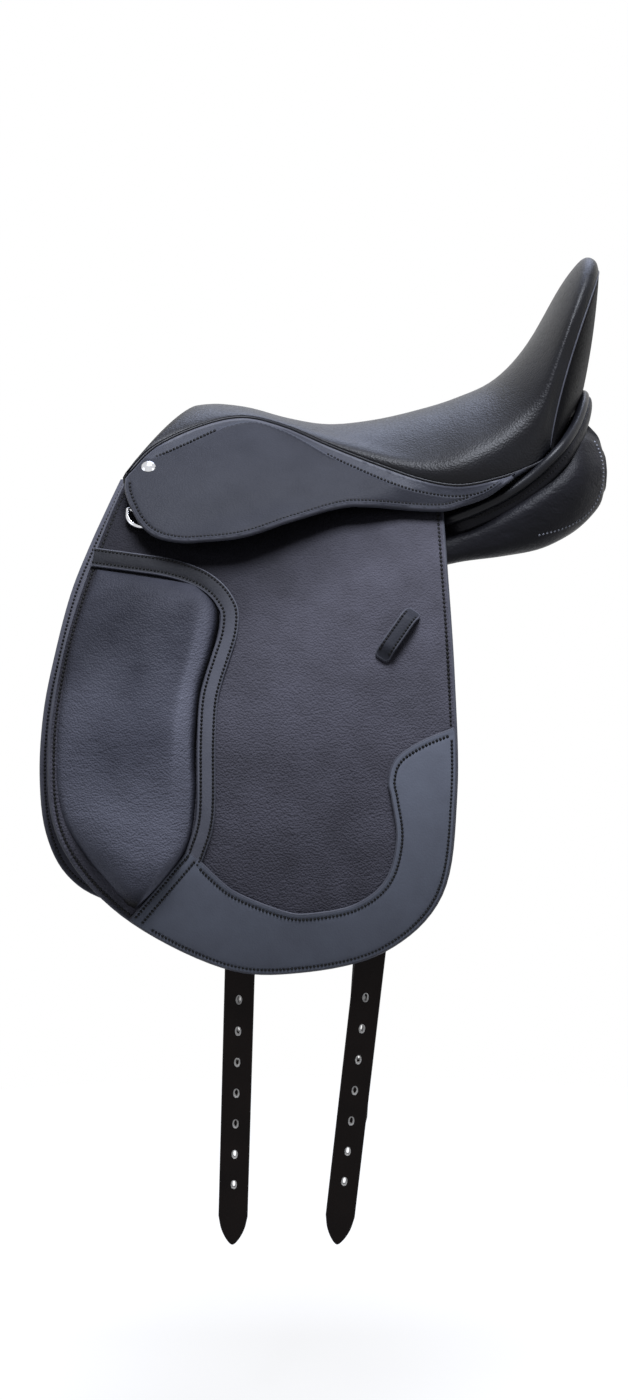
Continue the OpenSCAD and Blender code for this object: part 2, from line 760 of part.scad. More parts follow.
// Catch at the open end of a stirrup bar
catch_low = bar_low + bar_t / 2 + 0.1;
module near_bar_catch() {
    color("#c4c7ca")
        on_side(catch_x, bar_z, side_r)
            difference() {
                union() {
                    translate([0, 0, catch_low]) cylinder(r = bar_w / 2 - 0.3, h = bar_t / 2 - 0.1);
                    translate([0, 0.3 - bar_w / 2, catch_low])
                        cube([catch_l, bar_w - 0.6, bar_t / 2 - 0.1]);
                    translate([bar_w / 2 + 2, 0.3 - bar_w / 2, bar_low])
                        cube([catch_l - bar_w / 2 - 2, bar_w - 0.6, bar_t]);
                }
                translate([0, 0, -1]) cylinder(r = pin_r + play, h = 40);
            }
}
module off_bar_catch() off_side() near_bar_catch();

// Pins on which the catches turn
module catch_pins() {
    color("#90949a")
        for (s = [0, 1])
            mirror([0, s, 0])
                on_side(catch_x, bar_z, side_r) {
                    translate([0, 0, bar_low]) cylinder(r = pin_r, h = bar_t + 0.15);
                    translate([0, 0, bar_low + bar_t + 0.1]) cylinder(r = pin_r + 1.2, h = 0.7);
                }
}

// Girth strap: bent over the panel as far as the hem, then straight to a point
strap_mid = (strap_in + strap_out) / 2;
strap_turn_z = -flap_low - 1;
strap_turn = tilt(strap_mid, strap_turn_z);
front_strap_x = -61.5;
near_front_slant = 2;
off_front_slant = 2.9;
rear_strap_x = 71.5;
near_rear_slant = 5.9;
off_rear_slant = 4.2;
function strap_length(slant) =
    ((strap_top_z + strap_low) / cos(slant) - (strap_top_z - strap_turn_z)) / cos(strap_turn);
module strap(x, slant) {
    length = strap_length(slant);
    top_tilt = tilt(strap_mid, strap_top_z + 6);
    reach = 600;
    translate([x, 0, strap_top_z])
        rotate([0, slant, 0])
            translate([0, 0, -strap_top_z]) {
                translate([-strap_w / 2, yc, zc])
                    rotate([90, 0, 90])
                        linear_extrude(height = strap_w)
                            intersection() {
                                difference() {
                                    circle(r = strap_out, $fn = 180);
                                    circle(r = strap_in, $fn = 180);
                                }
                                polygon([
                                    [0, 0],
                                    reach * [-cos(top_tilt), sin(top_tilt)],
                                    reach * [-1.5, 0.4],
                                    reach * [-cos(strap_turn), sin(strap_turn)]
                                ]);
                            }
                on_side(0, strap_turn_z, strap_mid)
                    linear_extrude(height = strap_t, center = true)
                        difference() {
                            polygon([
                                [-strap_w / 2, 0],
                                [-strap_w / 2, strap_point - length],
                                [-strap_w / 6, 4 - length],
                                [0, -length],
                                [strap_w / 6, 4 - length],
                                [strap_w / 2, strap_point - length],
                                [strap_w / 2, 0]
                            ]);
                            for (i = [0 : hole_count - 1])
                                translate([0, first_hole - i * hole_pitch]) circle(r = hole_r, $fn = 32);
                        }
            }
}
module near_front_strap() {
    color("#1d1a19") strap(front_strap_x, near_front_slant);
}
module near_rear_strap() {
    color("#1d1a19") strap(rear_strap_x, near_rear_slant);
}
module off_front_strap() {
    color("#1d1a19") off_side() strap(front_strap_x, off_front_slant);
}
module off_rear_strap() {
    color("#1d1a19") off_side() strap(rear_strap_x, off_rear_slant);
}

// Dee under the front of a skirt, in a leather chape on a nail
dee_drop = 19;
chape_r = dee_r + 0.3 + chape_t;
module on_dee_nail() {
    on_side(dee_x, dee_nail_z, side_r) children();
}
module near_dee() {
    w = dee_half_w + dee_r;
    color("#d5d8da")
        on_dee_nail()
            translate([0, -dee_drop, fit + chape_r]) {
                rotate([0, 90, 0]) cylinder(r = dee_r, h = 2 * w, center = true);
                for (s = [-1, 1]) {
                    translate([s * w, 0, 0]) sphere(r = dee_r);
                    translate([s * w, 0, 0]) rotate([90, 0, 0]) cylinder(r = dee_r, h = 6);
                }
                translate([0, -6, 0])
                    rotate([0, 0, 180])
                        rotate_extrude(angle = 180)
                            translate([w, 0]) circle(r = dee_r);
            }
}
module off_dee() off_side() near_dee();
module near_dee_chape() {
    color("#1c1d1f")
        on_dee_nail()
            difference() {
                union() {
                    translate([-chape_w / 2, -dee_drop, fit]) cube([chape_w, dee_drop + 6, chape_t]);
                    translate([0, -dee_drop, fit + chape_r])
                        rotate([0, 90, 0]) cylinder(r = chape_r, h = chape_w, center = true);
                }
                translate([0, -dee_drop, fit + chape_r])
                    rotate([0, 90, 0]) cylinder(r = dee_r + 0.3, h = chape_w + 2, center = true);
                translate([0, 0, -1]) cylinder(r = nail_r + play, h = 20);
            }
}
module off_dee_chape() off_side() near_dee_chape();
module dee_nails() {
    color("#9fa2a6")
        for (s = [0, 1])
            mirror([0, s, 0])
                on_dee_nail() {
                    translate([0, 0, -flap_t]) cylinder(r = nail_r, h = flap_t + fit + chape_t + 0.2);
                    translate([0, 0, fit + chape_t + 0.15]) cylinder(r = 4, h = 1.2);
                }
}

// Bare domed stud on the front corner of a skirt
module near_stud() {
    dome_r = (stud_r * stud_r + stud_h * stud_h) / (2 * stud_h);
    color("#dcdee0")
        on_side(stud_x, stud_z, skirt_out) {
            translate([0, 0, fit])
                intersection() {
                    translate([0, 0, stud_h - dome_r]) sphere(r = dome_r, $fn = 96);
                    cylinder(r = stud_r + 1, h = stud_h + 1);
                }
            translate([0, 0, -8]) cylinder(r = nail_r, h = 9);
        }
}
module off_stud() off_side() near_stud();

tree();
head_plate();
front_girth_web();
rear_girth_web();
seat_foam();
seat_cover();
cantle_facing();
cantle_roll();
near_seat_welt();
off_seat_welt();
near_skirt_top();
off_skirt_top();
near_skirt();
off_skirt();
near_flap_top();
off_flap_top();
near_flap();
off_flap();
near_thigh_block();
off_thigh_block();
near_block_strip();
off_block_strip();
near_wear_patch();
off_wear_patch();
near_leather_keeper();
off_leather_keeper();
near_sweat_flap();
off_sweat_flap();
near_panel();
off_panel();
near_stirrup_bar();
off_stirrup_bar();
bar_rivets();
near_bar_catch();
off_bar_catch();
catch_pins();
near_front_strap();
off_front_strap();
near_rear_strap();
off_rear_strap();
near_dee();
off_dee();
near_dee_chape();
off_dee_chape();
dee_nails();
near_stud();
off_stud();
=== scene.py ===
# %% [markdown]
# # A dressage saddle in black leather
#
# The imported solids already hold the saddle's sizes and joints. This lesson dresses them: leather sheets with
# rounded edges, padded blocks and panels, rows of stitches and bright metal. Every piece is in metres and in
# the same frame as the solids: x runs back, y to the off side and z up.

# %% Load the solids
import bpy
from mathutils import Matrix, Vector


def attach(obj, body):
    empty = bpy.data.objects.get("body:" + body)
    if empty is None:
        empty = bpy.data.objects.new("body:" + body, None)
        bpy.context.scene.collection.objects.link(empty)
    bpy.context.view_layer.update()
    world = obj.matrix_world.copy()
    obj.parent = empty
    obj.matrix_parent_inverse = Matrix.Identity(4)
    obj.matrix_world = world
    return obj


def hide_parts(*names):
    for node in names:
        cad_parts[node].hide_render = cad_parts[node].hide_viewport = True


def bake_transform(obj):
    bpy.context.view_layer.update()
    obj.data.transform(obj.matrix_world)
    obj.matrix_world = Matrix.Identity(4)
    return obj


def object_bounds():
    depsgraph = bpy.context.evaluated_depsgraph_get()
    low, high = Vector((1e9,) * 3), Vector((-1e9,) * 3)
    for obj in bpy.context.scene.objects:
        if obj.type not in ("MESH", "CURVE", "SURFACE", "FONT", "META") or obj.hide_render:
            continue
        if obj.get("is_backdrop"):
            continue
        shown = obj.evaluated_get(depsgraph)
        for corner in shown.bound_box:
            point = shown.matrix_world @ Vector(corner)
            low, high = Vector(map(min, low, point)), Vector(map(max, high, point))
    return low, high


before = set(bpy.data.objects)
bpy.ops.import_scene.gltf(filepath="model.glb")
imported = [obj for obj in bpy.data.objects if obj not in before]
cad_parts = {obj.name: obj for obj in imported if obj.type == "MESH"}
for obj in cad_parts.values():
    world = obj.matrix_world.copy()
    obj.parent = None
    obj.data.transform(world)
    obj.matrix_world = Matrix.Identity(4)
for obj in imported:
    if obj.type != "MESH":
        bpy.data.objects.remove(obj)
cad_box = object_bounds()

# %% [markdown]
# ## Camera
#
# The saddle is seen from the near side, at the height of the skirt and tipped down a little. A long lens
# keeps its proportions, so the focal length is worked out from the picture's height in pixels.

# %% Camera
import math

import bmesh
import bpy
import numpy as np
from mathutils import Vector, bvhtree, geometry, kdtree, noise

scene = bpy.context.scene
picture_height_px = 1400
focal_px = 2422.84
sensor_mm = 36
camera_tilt = 85.5
camera = bpy.data.objects.new("side_camera", bpy.data.cameras.new("side_camera"))
camera.data.sensor_width = sensor_mm
camera.data.lens = focal_px * sensor_mm / picture_height_px
camera.location = (-0.01346, -2.2, 0.0425)
camera.rotation_euler = (math.radians(camera_tilt), 0, 0)
scene.collection.objects.link(camera)
scene.camera = camera
scene.view_settings.view_transform = "Standard"
print("lens:", round(camera.data.lens, 1), "mm")

# %% [markdown]
# ## Nodes and colours
#
# A material is a small graph of nodes. One function adds a node, sets its properties and links its sockets.
# Colours are written as they look on a screen, and a second function turns them into the linear values that
# light works with.

# %% Nodes and colours
def add_node(tree, kind, sockets=None, **settings):
    """Adds a node; each socket gets a value or the output of another node."""
    made = tree.nodes.new(kind)
    for name, value in settings.items():
        setattr(made, name, value)
    for socket, value in (sockets or {}).items():
        if isinstance(value, bpy.types.NodeSocket):
            tree.links.new(value, made.inputs[socket])
        else:
            made.inputs[socket].default_value = value
    return made


def colour(code):
    """Turns an sRGB hex value into a linear colour."""
    parts = [int(code[i:i + 2], 16) / 255 for i in (1, 3, 5)]
    linear = [p / 12.92 if p <= 0.04045 else ((p + 0.055) / 1.055) ** 2.4 for p in parts]
    return (*linear, 1.0)


print("mid grey is", round(colour("#808080")[0], 3), "in linear light")

# %% [markdown]
# ## Studio
#
# The air round the saddle is white to the eye and to polished metal, and a dim pale blue to everything else,
# so that black leather stays black. The Light Path node tells these rays apart.

# %% Studio air
def seen_directly(tree):
    """Gives 1 for rays from the camera, off a gloss or through a clear body, and 0 for all others."""
    rays = add_node(tree, "ShaderNodeLightPath")
    seen = rays.outputs["Is Camera Ray"]
    for other in ("Is Glossy Ray", "Is Transmission Ray"):
        either = add_node(tree, "ShaderNodeMath", {0: seen, 1: rays.outputs[other]}, operation="MAXIMUM")
        seen = either.outputs[0]
    return seen


air = bpy.data.worlds.new("studio_air")
air.use_nodes = True
air.node_tree.nodes.clear()
scene.world = air
dim = add_node(air.node_tree, "ShaderNodeBackground", {"Color": colour("#dde4f0"), "Strength": 0.02})
white = add_node(air.node_tree, "ShaderNodeBackground", {"Color": colour("#ffffff"), "Strength": 1.0})
both = add_node(air.node_tree, "ShaderNodeMixShader",
                {0: seen_directly(air.node_tree), 1: dim.outputs[0], 2: white.outputs[0]})
add_node(air.node_tree, "ShaderNodeOutputWorld", {"Surface": both.outputs[0]})
print("nodes of the air:", len(air.node_tree.nodes))

# %% [markdown]
# A large lamp overhead models the seat and drops a deep shadow under the skirt. A bluish one above the off
# side brings the sheen along the seat, and three weak lamps beside the camera, in front and behind fill in.

# %% Lamps
def softbox(name, place, size, watts, code="#eef3ff"):
    """Adds a square lamp that shines at the middle of the saddle."""
    lamp = bpy.data.objects.new(name, bpy.data.lights.new(name, "AREA"))
    lamp.data.size = size
    lamp.data.energy = watts
    lamp.data.color = colour(code)[:3]
    lamp.location = place
    lamp.rotation_euler = (-Vector(place)).to_track_quat("-Z", "Y").to_euler()
    scene.collection.objects.link(lamp)


softbox("overhead_softbox", (0.12, -0.86, 2.2), size=1.1, watts=104)
softbox("off_side_softbox", (0.25, 1.35, 2.0), size=1.5, watts=26, code="#cfdcff")
softbox("camera_softbox", (-0.5, -3.2, 0.2), size=1.8, watts=1)
softbox("front_softbox", (-2.3, -1.0, 0.3), size=1.2, watts=7)
softbox("rear_softbox", (2.2, -1.5, 0.4), size=1.2, watts=5)

# %% [markdown]
# The floor is a wide pale disc well below the straps. Its shader gives most of its white by itself where the
# camera or a polished face sees it, and the rest by the light that falls on it, so it still takes a shadow.

# %% Floor
floor_z = -0.86
floor_radius = 1.6
floor_mesh = bpy.data.meshes.new("studio_floor")
disc = bmesh.new()
bmesh.ops.create_circle(disc, cap_ends=True, segments=96, radius=floor_radius)
disc.to_mesh(floor_mesh)
disc.free()
floor = bpy.data.objects.new("studio_floor", floor_mesh)
floor.location = (0, 0, floor_z)
scene.collection.objects.link(floor)
paper = bpy.data.materials.new("matt_white_paper")
paper.use_nodes = True
tree = paper.node_tree
lit = add_node(tree, "ShaderNodeBsdfDiffuse", {"Color": colour("#b4b4b2")})
faint = add_node(tree, "ShaderNodeBsdfDiffuse", {"Color": colour("#8a8a8a")})
glow = add_node(tree, "ShaderNodeEmission", {"Color": colour("#ffffff"), "Strength": 0.86})
bright = add_node(tree, "ShaderNodeAddShader", {0: faint.outputs[0], 1: glow.outputs[0]})
shown = add_node(tree, "ShaderNodeMixShader",
                 {0: seen_directly(tree), 1: lit.outputs[0], 2: bright.outputs[0]})
tree.links.new(shown.outputs[0], tree.nodes["Material Output"].inputs["Surface"])
floor_mesh.materials.append(paper)
floor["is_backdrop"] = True
print("floor at", floor_z, "m")

# %% [markdown]
# ## Leather finishes
#
# Saddle leather is cowhide, dyed through and pressed or left with its grain: small rounded pebbles between
# fine creases. The eye reads it by its broken highlight. The grain is a Voronoi pattern of cells as wide as
# the pebbles, the creases are the lines between cells, and slow noise makes the dye cloudy. Real grain is
# about a millimetre wide, which is a single pixel here, so it is drawn somewhat coarser.

# %% A finish and its leather
MM = 0.001
cloud_mm = 38
fold_mm = 14
# Black painted shade for the creases of a block
painted_crease_shade = "#060608"
# The skirt's shadow is painted into the dye: it darkens upwards along this way, between these two heights.
painted_shade_way = (-0.5, 0.0, 0.87)
unshaded_below = -40 * MM
full_shade_above = 48 * MM


def finish(name, **sockets):
    """Starts a material whose constant values sit on its shader's own sockets."""
    made = bpy.data.materials.new(name)
    made.use_nodes = True
    shader = made.node_tree.nodes["Principled BSDF"]
    for socket, value in sockets.items():
        shader.inputs[socket.replace("_", " ")].default_value = value
    where = add_node(made.node_tree, "ShaderNodeTexCoord")
    return made, made.node_tree, shader, where.outputs["Object"]


def leather(name, deep, worn, grain_mm, depth_mm, rough, specular, wrinkle_mm=0.0, painted_shade_tone=1.0,
            painted_light_map=False):
    """Dyed cowhide: cloudy dye, pebbled grain, wrinkles of some depth; a painted shadow under the skirt, and
    painted light and crease shade from a share kept with the points.
    """
    made, tree, shader, where = finish(name, Specular_IOR_Level=specular, IOR=1.5)
    cloud = add_node(tree, "ShaderNodeTexNoise",
                     {"Vector": where, "Scale": 1 / (cloud_mm * MM), "Detail": 4.0, "Roughness": 0.6})
    pebbles = add_node(tree, "ShaderNodeTexVoronoi", {"Vector": where, "Scale": 1 / (grain_mm * MM)})
    mottle = cloud.outputs["Fac"]
    # Painted light and shade: a share kept with each point pales the dye or blackens it
    if painted_light_map:
        painted_light = add_node(tree, "ShaderNodeAttribute", attribute_name="painted_light")
        mixed = add_node(tree, "ShaderNodeMath", {0: mottle, 1: 0.35, 2: painted_light.outputs["Fac"]},
                         operation="MULTIPLY_ADD")
        mottle = mixed.outputs[0]
    tone = add_node(tree, "ShaderNodeValToRGB", {"Fac": mottle})
    tone.color_ramp.elements[0].position = 0.3
    tone.color_ramp.elements[0].color = colour(deep)
    tone.color_ramp.elements[1].position = 0.72
    tone.color_ramp.elements[1].color = colour(worn)
    # Painted shade: black at the low end of the ramp, for the creases
    if painted_light_map:
        tone.color_ramp.elements.new(0.0).color = colour(painted_crease_shade)
    dye = tone.outputs["Color"]
    # Painted shadow of the skirt: the dye darkens towards the skirt's edge
    if painted_shade_tone < 1:
        height = add_node(tree, "ShaderNodeVectorMath", {0: where, 1: painted_shade_way}, operation="DOT_PRODUCT")
        shade = add_node(tree, "ShaderNodeMapRange",
                         {"Value": height.outputs["Value"], "From Min": unshaded_below, "From Max": full_shade_above,
                          "To Min": 1.0, "To Max": painted_shade_tone}, interpolation_type="SMOOTHSTEP")
        shaded = add_node(tree, "ShaderNodeVectorMath", {0: dye, 1: shade.outputs["Result"]},
                          operation="MULTIPLY")
        dye = shaded.outputs["Vector"]
    tree.links.new(dye, shader.inputs["Base Color"])
    gloss = add_node(tree, "ShaderNodeMapRange",
                     {"Value": pebbles.outputs["Distance"], "To Min": rough - 0.06, "To Max": rough + 0.1})
    tree.links.new(gloss.outputs["Result"], shader.inputs["Roughness"])
    grain = add_node(tree, "ShaderNodeBump", {"Height": pebbles.outputs["Distance"], "Strength": 1.0,
                                              "Distance": depth_mm * MM}, invert=True)
    tree.links.new(grain.outputs["Normal"], shader.inputs["Normal"])
    if wrinkle_mm:
        drawn = add_node(tree, "ShaderNodeMapping", {"Vector": where, "Scale": (1.0, 0.6, 1.7)})
        folds = add_node(tree, "ShaderNodeTexNoise",
                         {"Vector": drawn.outputs["Vector"], "Scale": 1 / (fold_mm * MM), "Detail": 2.0,
                          "Distortion": 0.6})
        creased = add_node(tree, "ShaderNodeBump",
                           {"Height": folds.outputs["Fac"], "Strength": 1.0, "Distance": wrinkle_mm * MM})
        tree.links.new(creased.outputs["Normal"], grain.inputs["Normal"])
    return made


print("leather clouds over", cloud_mm, "mm and folds over", fold_mm, "mm")

# %% [markdown]
# A saddler picks a different hide for each job: printed grain for the flaps, thick bridle leather for what
# takes wear, soft calf for the seat. They differ in dye, grain and polish, so one function makes them all.

# %% Kinds of leather
# Flaps: printed grain, half matt, with a blue-grey bloom, and the skirt's shadow painted dark under it
grained_hide = leather("printed_grain_cowhide", "#49484f", "#57565f", grain_mm=1.7, depth_mm=0.6, rough=0.55,
                       specular=0.03, painted_shade_tone=0.3)
# Thigh blocks: the same hide drawn over foam, with soft folds; painted highlights, painted crease shade and
# the skirt's painted shadow go into its dye
padded_hide = leather("padded_grain_cowhide", "#30313a", "#62636e", grain_mm=1.6, depth_mm=0.5, rough=0.46,
                      specular=0.06, wrinkle_mm=0.6, painted_shade_tone=0.55, painted_light_map=True)
# Skirts, keepers and dee chapes: thick smooth bridle leather, close and even
bridle_hide = leather("smooth_bridle_leather", "#2f3036", "#37383e", grain_mm=1.7, depth_mm=0.14, rough=0.46,
                      specular=0.05)
# Upper pieces of the skirts: the same leather, a little glossier, and paler as painted light on the band that
# faces up
upper_band_painted_light = leather("upper_bridle_painted_light", "#393a41", "#43454c", grain_mm=1.7, depth_mm=0.14, rough=0.4,
                      specular=0.07)
# Strips along the blocks: hide with its face sanded, so it is paler; the skirt's shadow is painted dark on its
# top
sanded_hide = leather("sanded_strip_hide", "#5a5b63", "#65666e", grain_mm=1.5, depth_mm=0.1, rough=0.48,
                      specular=0.05, painted_shade_tone=0.14)
# Wear patches: buffed hide, paler and quite even
buffed_hide = leather("buffed_wear_hide", "#646771", "#6d717c", grain_mm=1.6, depth_mm=0.05, rough=0.5,
                      specular=0.05)
# Seat: soft calf drawn over foam, blacker than the rest and with a broad sheen
soft_calf = leather("soft_seat_calf", "#09090d", "#111217", grain_mm=1.9, depth_mm=0.2, rough=0.38,
                    specular=0.17, wrinkle_mm=0.3)
# Cantle facing: thin matt hide that stays dark from every side
facing_hide = leather("matt_facing_hide", "#0b0b0d", "#141416", grain_mm=1.9, depth_mm=0.2, rough=0.5,
                      specular=0.04)
# Sweat flaps: plain lining hide, greyer than the panels and paler still as painted light on a border that the
# flap shades
lining_and_painted_light = leather("plain_lining_hide", "#4a4a52", "#56565e", grain_mm=2.0, depth_mm=0.2, rough=0.5,
                      specular=0.04)
# Panels: soft hide that sees no polish
panel_hide = leather("soft_panel_hide", "#151519", "#1d1d22", grain_mm=2.0, depth_mm=0.2, rough=0.42,
                     specular=0.09, wrinkle_mm=0.8)
# Cantle roll and pipings: thin hide drawn tight over a cord
piping_hide = leather("drawn_piping_hide", "#131317", "#1b1c21", grain_mm=1.6, depth_mm=0.08, rough=0.34,
                      specular=0.16)
# Girth straps: waxed strap butt, nearly black with a trace of brown
strap_butt = leather("waxed_strap_butt", "#151110", "#1e1816", grain_mm=1.8, depth_mm=0.1, rough=0.44,
                     specular=0.06)
# Cut edges: dyed and rubbed with wax until they shine, and paler than the faces as a painted highlight along
# the rounded edge
edge_painted_highlight = leather("waxed_edge_painted_highlight", "#4a4b53", "#575860", grain_mm=1.4, depth_mm=0.05, rough=0.38,
                      specular=0.1)
# Raw cut: the undyed core of the hide inside a punched hole, painted paler still as light against the hole's
# shade
raw_core_and_painted_light = leather("raw_hide_core", "#c9c5bf", "#dedad3", grain_mm=1.4, depth_mm=0.1, rough=0.75,
                  specular=0.3)
print("materials so far:", len(bpy.data.materials))

# %% [markdown]
# Waxed thread is twisted, so fine bands run across it. Nickel plate is smooth, with faint rubbing marks that
# spread its highlight, and forged steel keeps the coarser marks of the tumbling drum.

# %% Thread and metal
# A wave texture at scale 1 repeats after this many metres along x, and after twice as many on its diagonal
wave_unit = 2 * math.pi / 20
thread_turn_mm = 1.508


def thread(name, code):
    """Waxed twisted thread: a band for each turn of its two plies."""
    made, tree, shader, where = finish(name, Roughness=0.6, Specular_IOR_Level=0.15)
    turns = 2 * wave_unit / (thread_turn_mm * MM)
    twist = add_node(tree, "ShaderNodeTexWave", {"Vector": where, "Scale": turns}, bands_direction="DIAGONAL")
    tone = add_node(tree, "ShaderNodeValToRGB", {"Fac": twist.outputs["Fac"]})
    base = colour(code)
    tone.color_ramp.elements[0].color = (base[0] * 0.6, base[1] * 0.6, base[2] * 0.6, 1.0)
    tone.color_ramp.elements[1].color = base
    tree.links.new(tone.outputs["Color"], shader.inputs["Base Color"])
    return made


def metal(name, code, rough, mark_mm, depth_mm):
    """Metal whose surface keeps marks of the given width and depth."""
    made, tree, shader, where = finish(name, Metallic=1.0)
    marks = add_node(tree, "ShaderNodeTexNoise",
                     {"Vector": where, "Scale": 1 / (mark_mm * MM), "Detail": 3.0})
    tone = add_node(tree, "ShaderNodeValToRGB", {"Fac": marks.outputs["Fac"]})
    base = colour(code)
    tone.color_ramp.elements[0].color = (base[0] * 0.86, base[1] * 0.86, base[2] * 0.88, 1.0)
    tone.color_ramp.elements[1].color = base
    tree.links.new(tone.outputs["Color"], shader.inputs["Base Color"])
    polish = add_node(tree, "ShaderNodeMapRange",
                      {"Value": marks.outputs["Fac"], "To Min": rough * 0.7, "To Max": rough * 1.4})
    tree.links.new(polish.outputs["Result"], shader.inputs["Roughness"])
    dents = add_node(tree, "ShaderNodeBump", {"Height": marks.outputs["Fac"], "Strength": 0.5,
                                              "Distance": depth_mm * MM})
    tree.links.new(dents.outputs["Normal"], shader.inputs["Normal"])
    return made


black_thread = thread("waxed_black_thread", "#0c0c0e")
pale_thread = thread("waxed_grey_thread", "#8d8f98")
nickel = metal("polished_nickel_plate", "#d6d7da", rough=0.16, mark_mm=3.0, depth_mm=0.02)
forged_steel = metal("tumbled_forged_steel", "#a9abae", rough=0.34, mark_mm=2.0, depth_mm=0.06)
print("a turn of thread is", thread_turn_mm, "mm long")

# %% [markdown]
# The tree is moulded nylon with a fine spark-eroded grain, and the webs are woven in 2 mm ribs. These two,
# the metal parts and the dee chapes keep their solids, because those already have the real shape. Each node
# only swaps its material.

# %% Hidden parts and the solids that stay
spark_mm = 1.5
rib_mm = 2.0
nylon, tree, shader, where = finish("moulded_glass_nylon", Roughness=0.55)
grain = add_node(tree, "ShaderNodeTexNoise", {"Vector": where, "Scale": 1 / (spark_mm * MM), "Detail": 2.0})
tone = add_node(tree, "ShaderNodeValToRGB", {"Fac": grain.outputs["Fac"]})
tone.color_ramp.elements[0].color = colour("#202022")
tone.color_ramp.elements[1].color = colour("#2c2c2f")
tree.links.new(tone.outputs["Color"], shader.inputs["Base Color"])
pits = add_node(tree, "ShaderNodeBump", {"Height": grain.outputs["Fac"], "Distance": 0.1 * MM})
tree.links.new(pits.outputs["Normal"], shader.inputs["Normal"])

webbing, tree, shader, where = finish("woven_polyester_web", Roughness=0.8, Specular_IOR_Level=0.3)
ribs = add_node(tree, "ShaderNodeTexWave", {"Vector": where, "Scale": wave_unit / (rib_mm * MM)},
                bands_direction="X")
tone = add_node(tree, "ShaderNodeValToRGB", {"Fac": ribs.outputs["Fac"]})
tone.color_ramp.elements[0].color = colour("#77726a")
tone.color_ramp.elements[1].color = colour("#b8b2a4")
tree.links.new(tone.outputs["Color"], shader.inputs["Base Color"])
weave = add_node(tree, "ShaderNodeBump", {"Height": ribs.outputs["Fac"], "Distance": 0.4 * MM})
tree.links.new(weave.outputs["Normal"], shader.inputs["Normal"])

kept = {
    nickel: ["near_dee", "off_dee", "near_stud", "off_stud", "dee_nails"],
    forged_steel: ["near_stirrup_bar", "off_stirrup_bar", "near_bar_catch", "off_bar_catch", "catch_pins",
                   "bar_rivets", "head_plate"],
    nylon: ["tree"],
    webbing: ["front_girth_web", "rear_girth_web"],
    bridle_hide: ["near_dee_chape", "off_dee_chape"],
}
for material, names in kept.items():
    for name in names:
        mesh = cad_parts[name].data
        mesh.materials.clear()
        mesh.materials.append(material)
print("solids with a new finish:", sum(len(names) for names in kept.values()))

# %% [markdown]
# ## Laying patterns on the side of the saddle
#
# Flap, skirt, patch and strip are cut flat and then take the curve of the horse's side. So each one is drawn
# as a flat pattern in x and z, and one function lays it on a cylinder of the layer's radius. Smooth outlines
# come from curves through a few points. From here on all lengths are in millimetres.

# %% Curves and the side of the saddle
side_radius = 450
side_centre_y = 215
side_centre_z = -250
# The sign of y on each side
hands = {"near": -1, "off": 1}


def spline(points, per_span):
    """Points of a smooth curve through all the given ones."""
    points = np.asarray(points, float)
    ends = np.vstack([2 * points[0] - points[1], points, 2 * points[-1] - points[-2]])
    made = []
    for i in range(len(points) - 1):
        p0, p1, p2, p3 = ends[i:i + 4]
        for t in np.arange(per_span) / per_span:
            bend = 2 * p0 - 5 * p1 + 4 * p2 - p3
            twist = 3 * p1 - p0 - 3 * p2 + p3
            made.append(0.5 * (2 * p1 + (p2 - p0) * t + bend * t ** 2 + twist * t ** 3))
    made.append(points[-1])
    return np.array(made)


def even(line, step):
    """The same line with points at even steps."""
    line = np.asarray(line, float)
    run = np.concatenate([[0], np.cumsum(np.linalg.norm(np.diff(line, axis=0), axis=1))])
    places = np.linspace(0, run[-1], max(2, round(run[-1] / step)) + 1)
    return np.column_stack([np.interp(places, run, column) for column in line.T])


def spread(line, count):
    """An even line with its points spread over so many steps."""
    places = np.linspace(0, len(line) - 1, count + 1)
    return np.column_stack([np.interp(places, range(len(line)), column) for column in line.T])


def beside(line, distance):
    """The line moved to its left by a distance."""
    line = np.asarray(line, float)
    ahead = np.gradient(line, axis=0)
    ahead /= np.linalg.norm(ahead, axis=1)[:, None]
    return line + distance * np.column_stack([-ahead[:, 1], ahead[:, 0]])


def smooth(t):
    """Goes smoothly from 0 to 1."""
    t = np.clip(t, 0, 1)
    return t * t * (3 - 2 * t)


def on_side(radius, hand):
    """Gives the function that lays a flat pattern on one side, at a height over the given radius."""
    def place(x, z, height):
        lean = np.arcsin((z - side_centre_z) / radius)
        out = (radius + height) * np.cos(lean) - side_centre_y
        return np.column_stack([x, hand * out, z + height * np.sin(lean)])
    return place


print("flap's half-width at the origin:", round(float(-on_side(side_radius, -1)(0.0, 0.0, 0.0)[0, 1])), "mm")

# %% [markdown]
# A pattern is a closed loop. To fill it with a mesh, its loop must run one way round and have no long side,
# its rim is the loop moved in by the rounding of the edge, and points of the field must lie inside it.

# %% Closed loops
def turned_left(loop):
    """The closed loop in the direction that keeps its inside on the left."""
    x, z = loop.T
    area = np.sum(x * np.roll(z, -1) - z * np.roll(x, -1))
    return loop if area > 0 else loop[::-1]


def dense(loop, step):
    """The closed loop with no side longer than step and no point twice."""
    made = []
    for a, b in zip(loop, np.roll(loop, -1, 0)):
        length = np.linalg.norm(b - a)
        if length > 0.05:
            count = math.ceil(length / step)
            made += [a + (b - a) * k / count for k in range(count)]
    return np.array(made)


def moved_in(loop, distance):
    """The closed loop moved to its left by a distance."""
    ahead = np.roll(loop, -1, 0) - np.roll(loop, 1, 0)
    ahead /= np.linalg.norm(ahead, axis=1)[:, None]
    return loop + distance * np.column_stack([-ahead[:, 1], ahead[:, 0]])


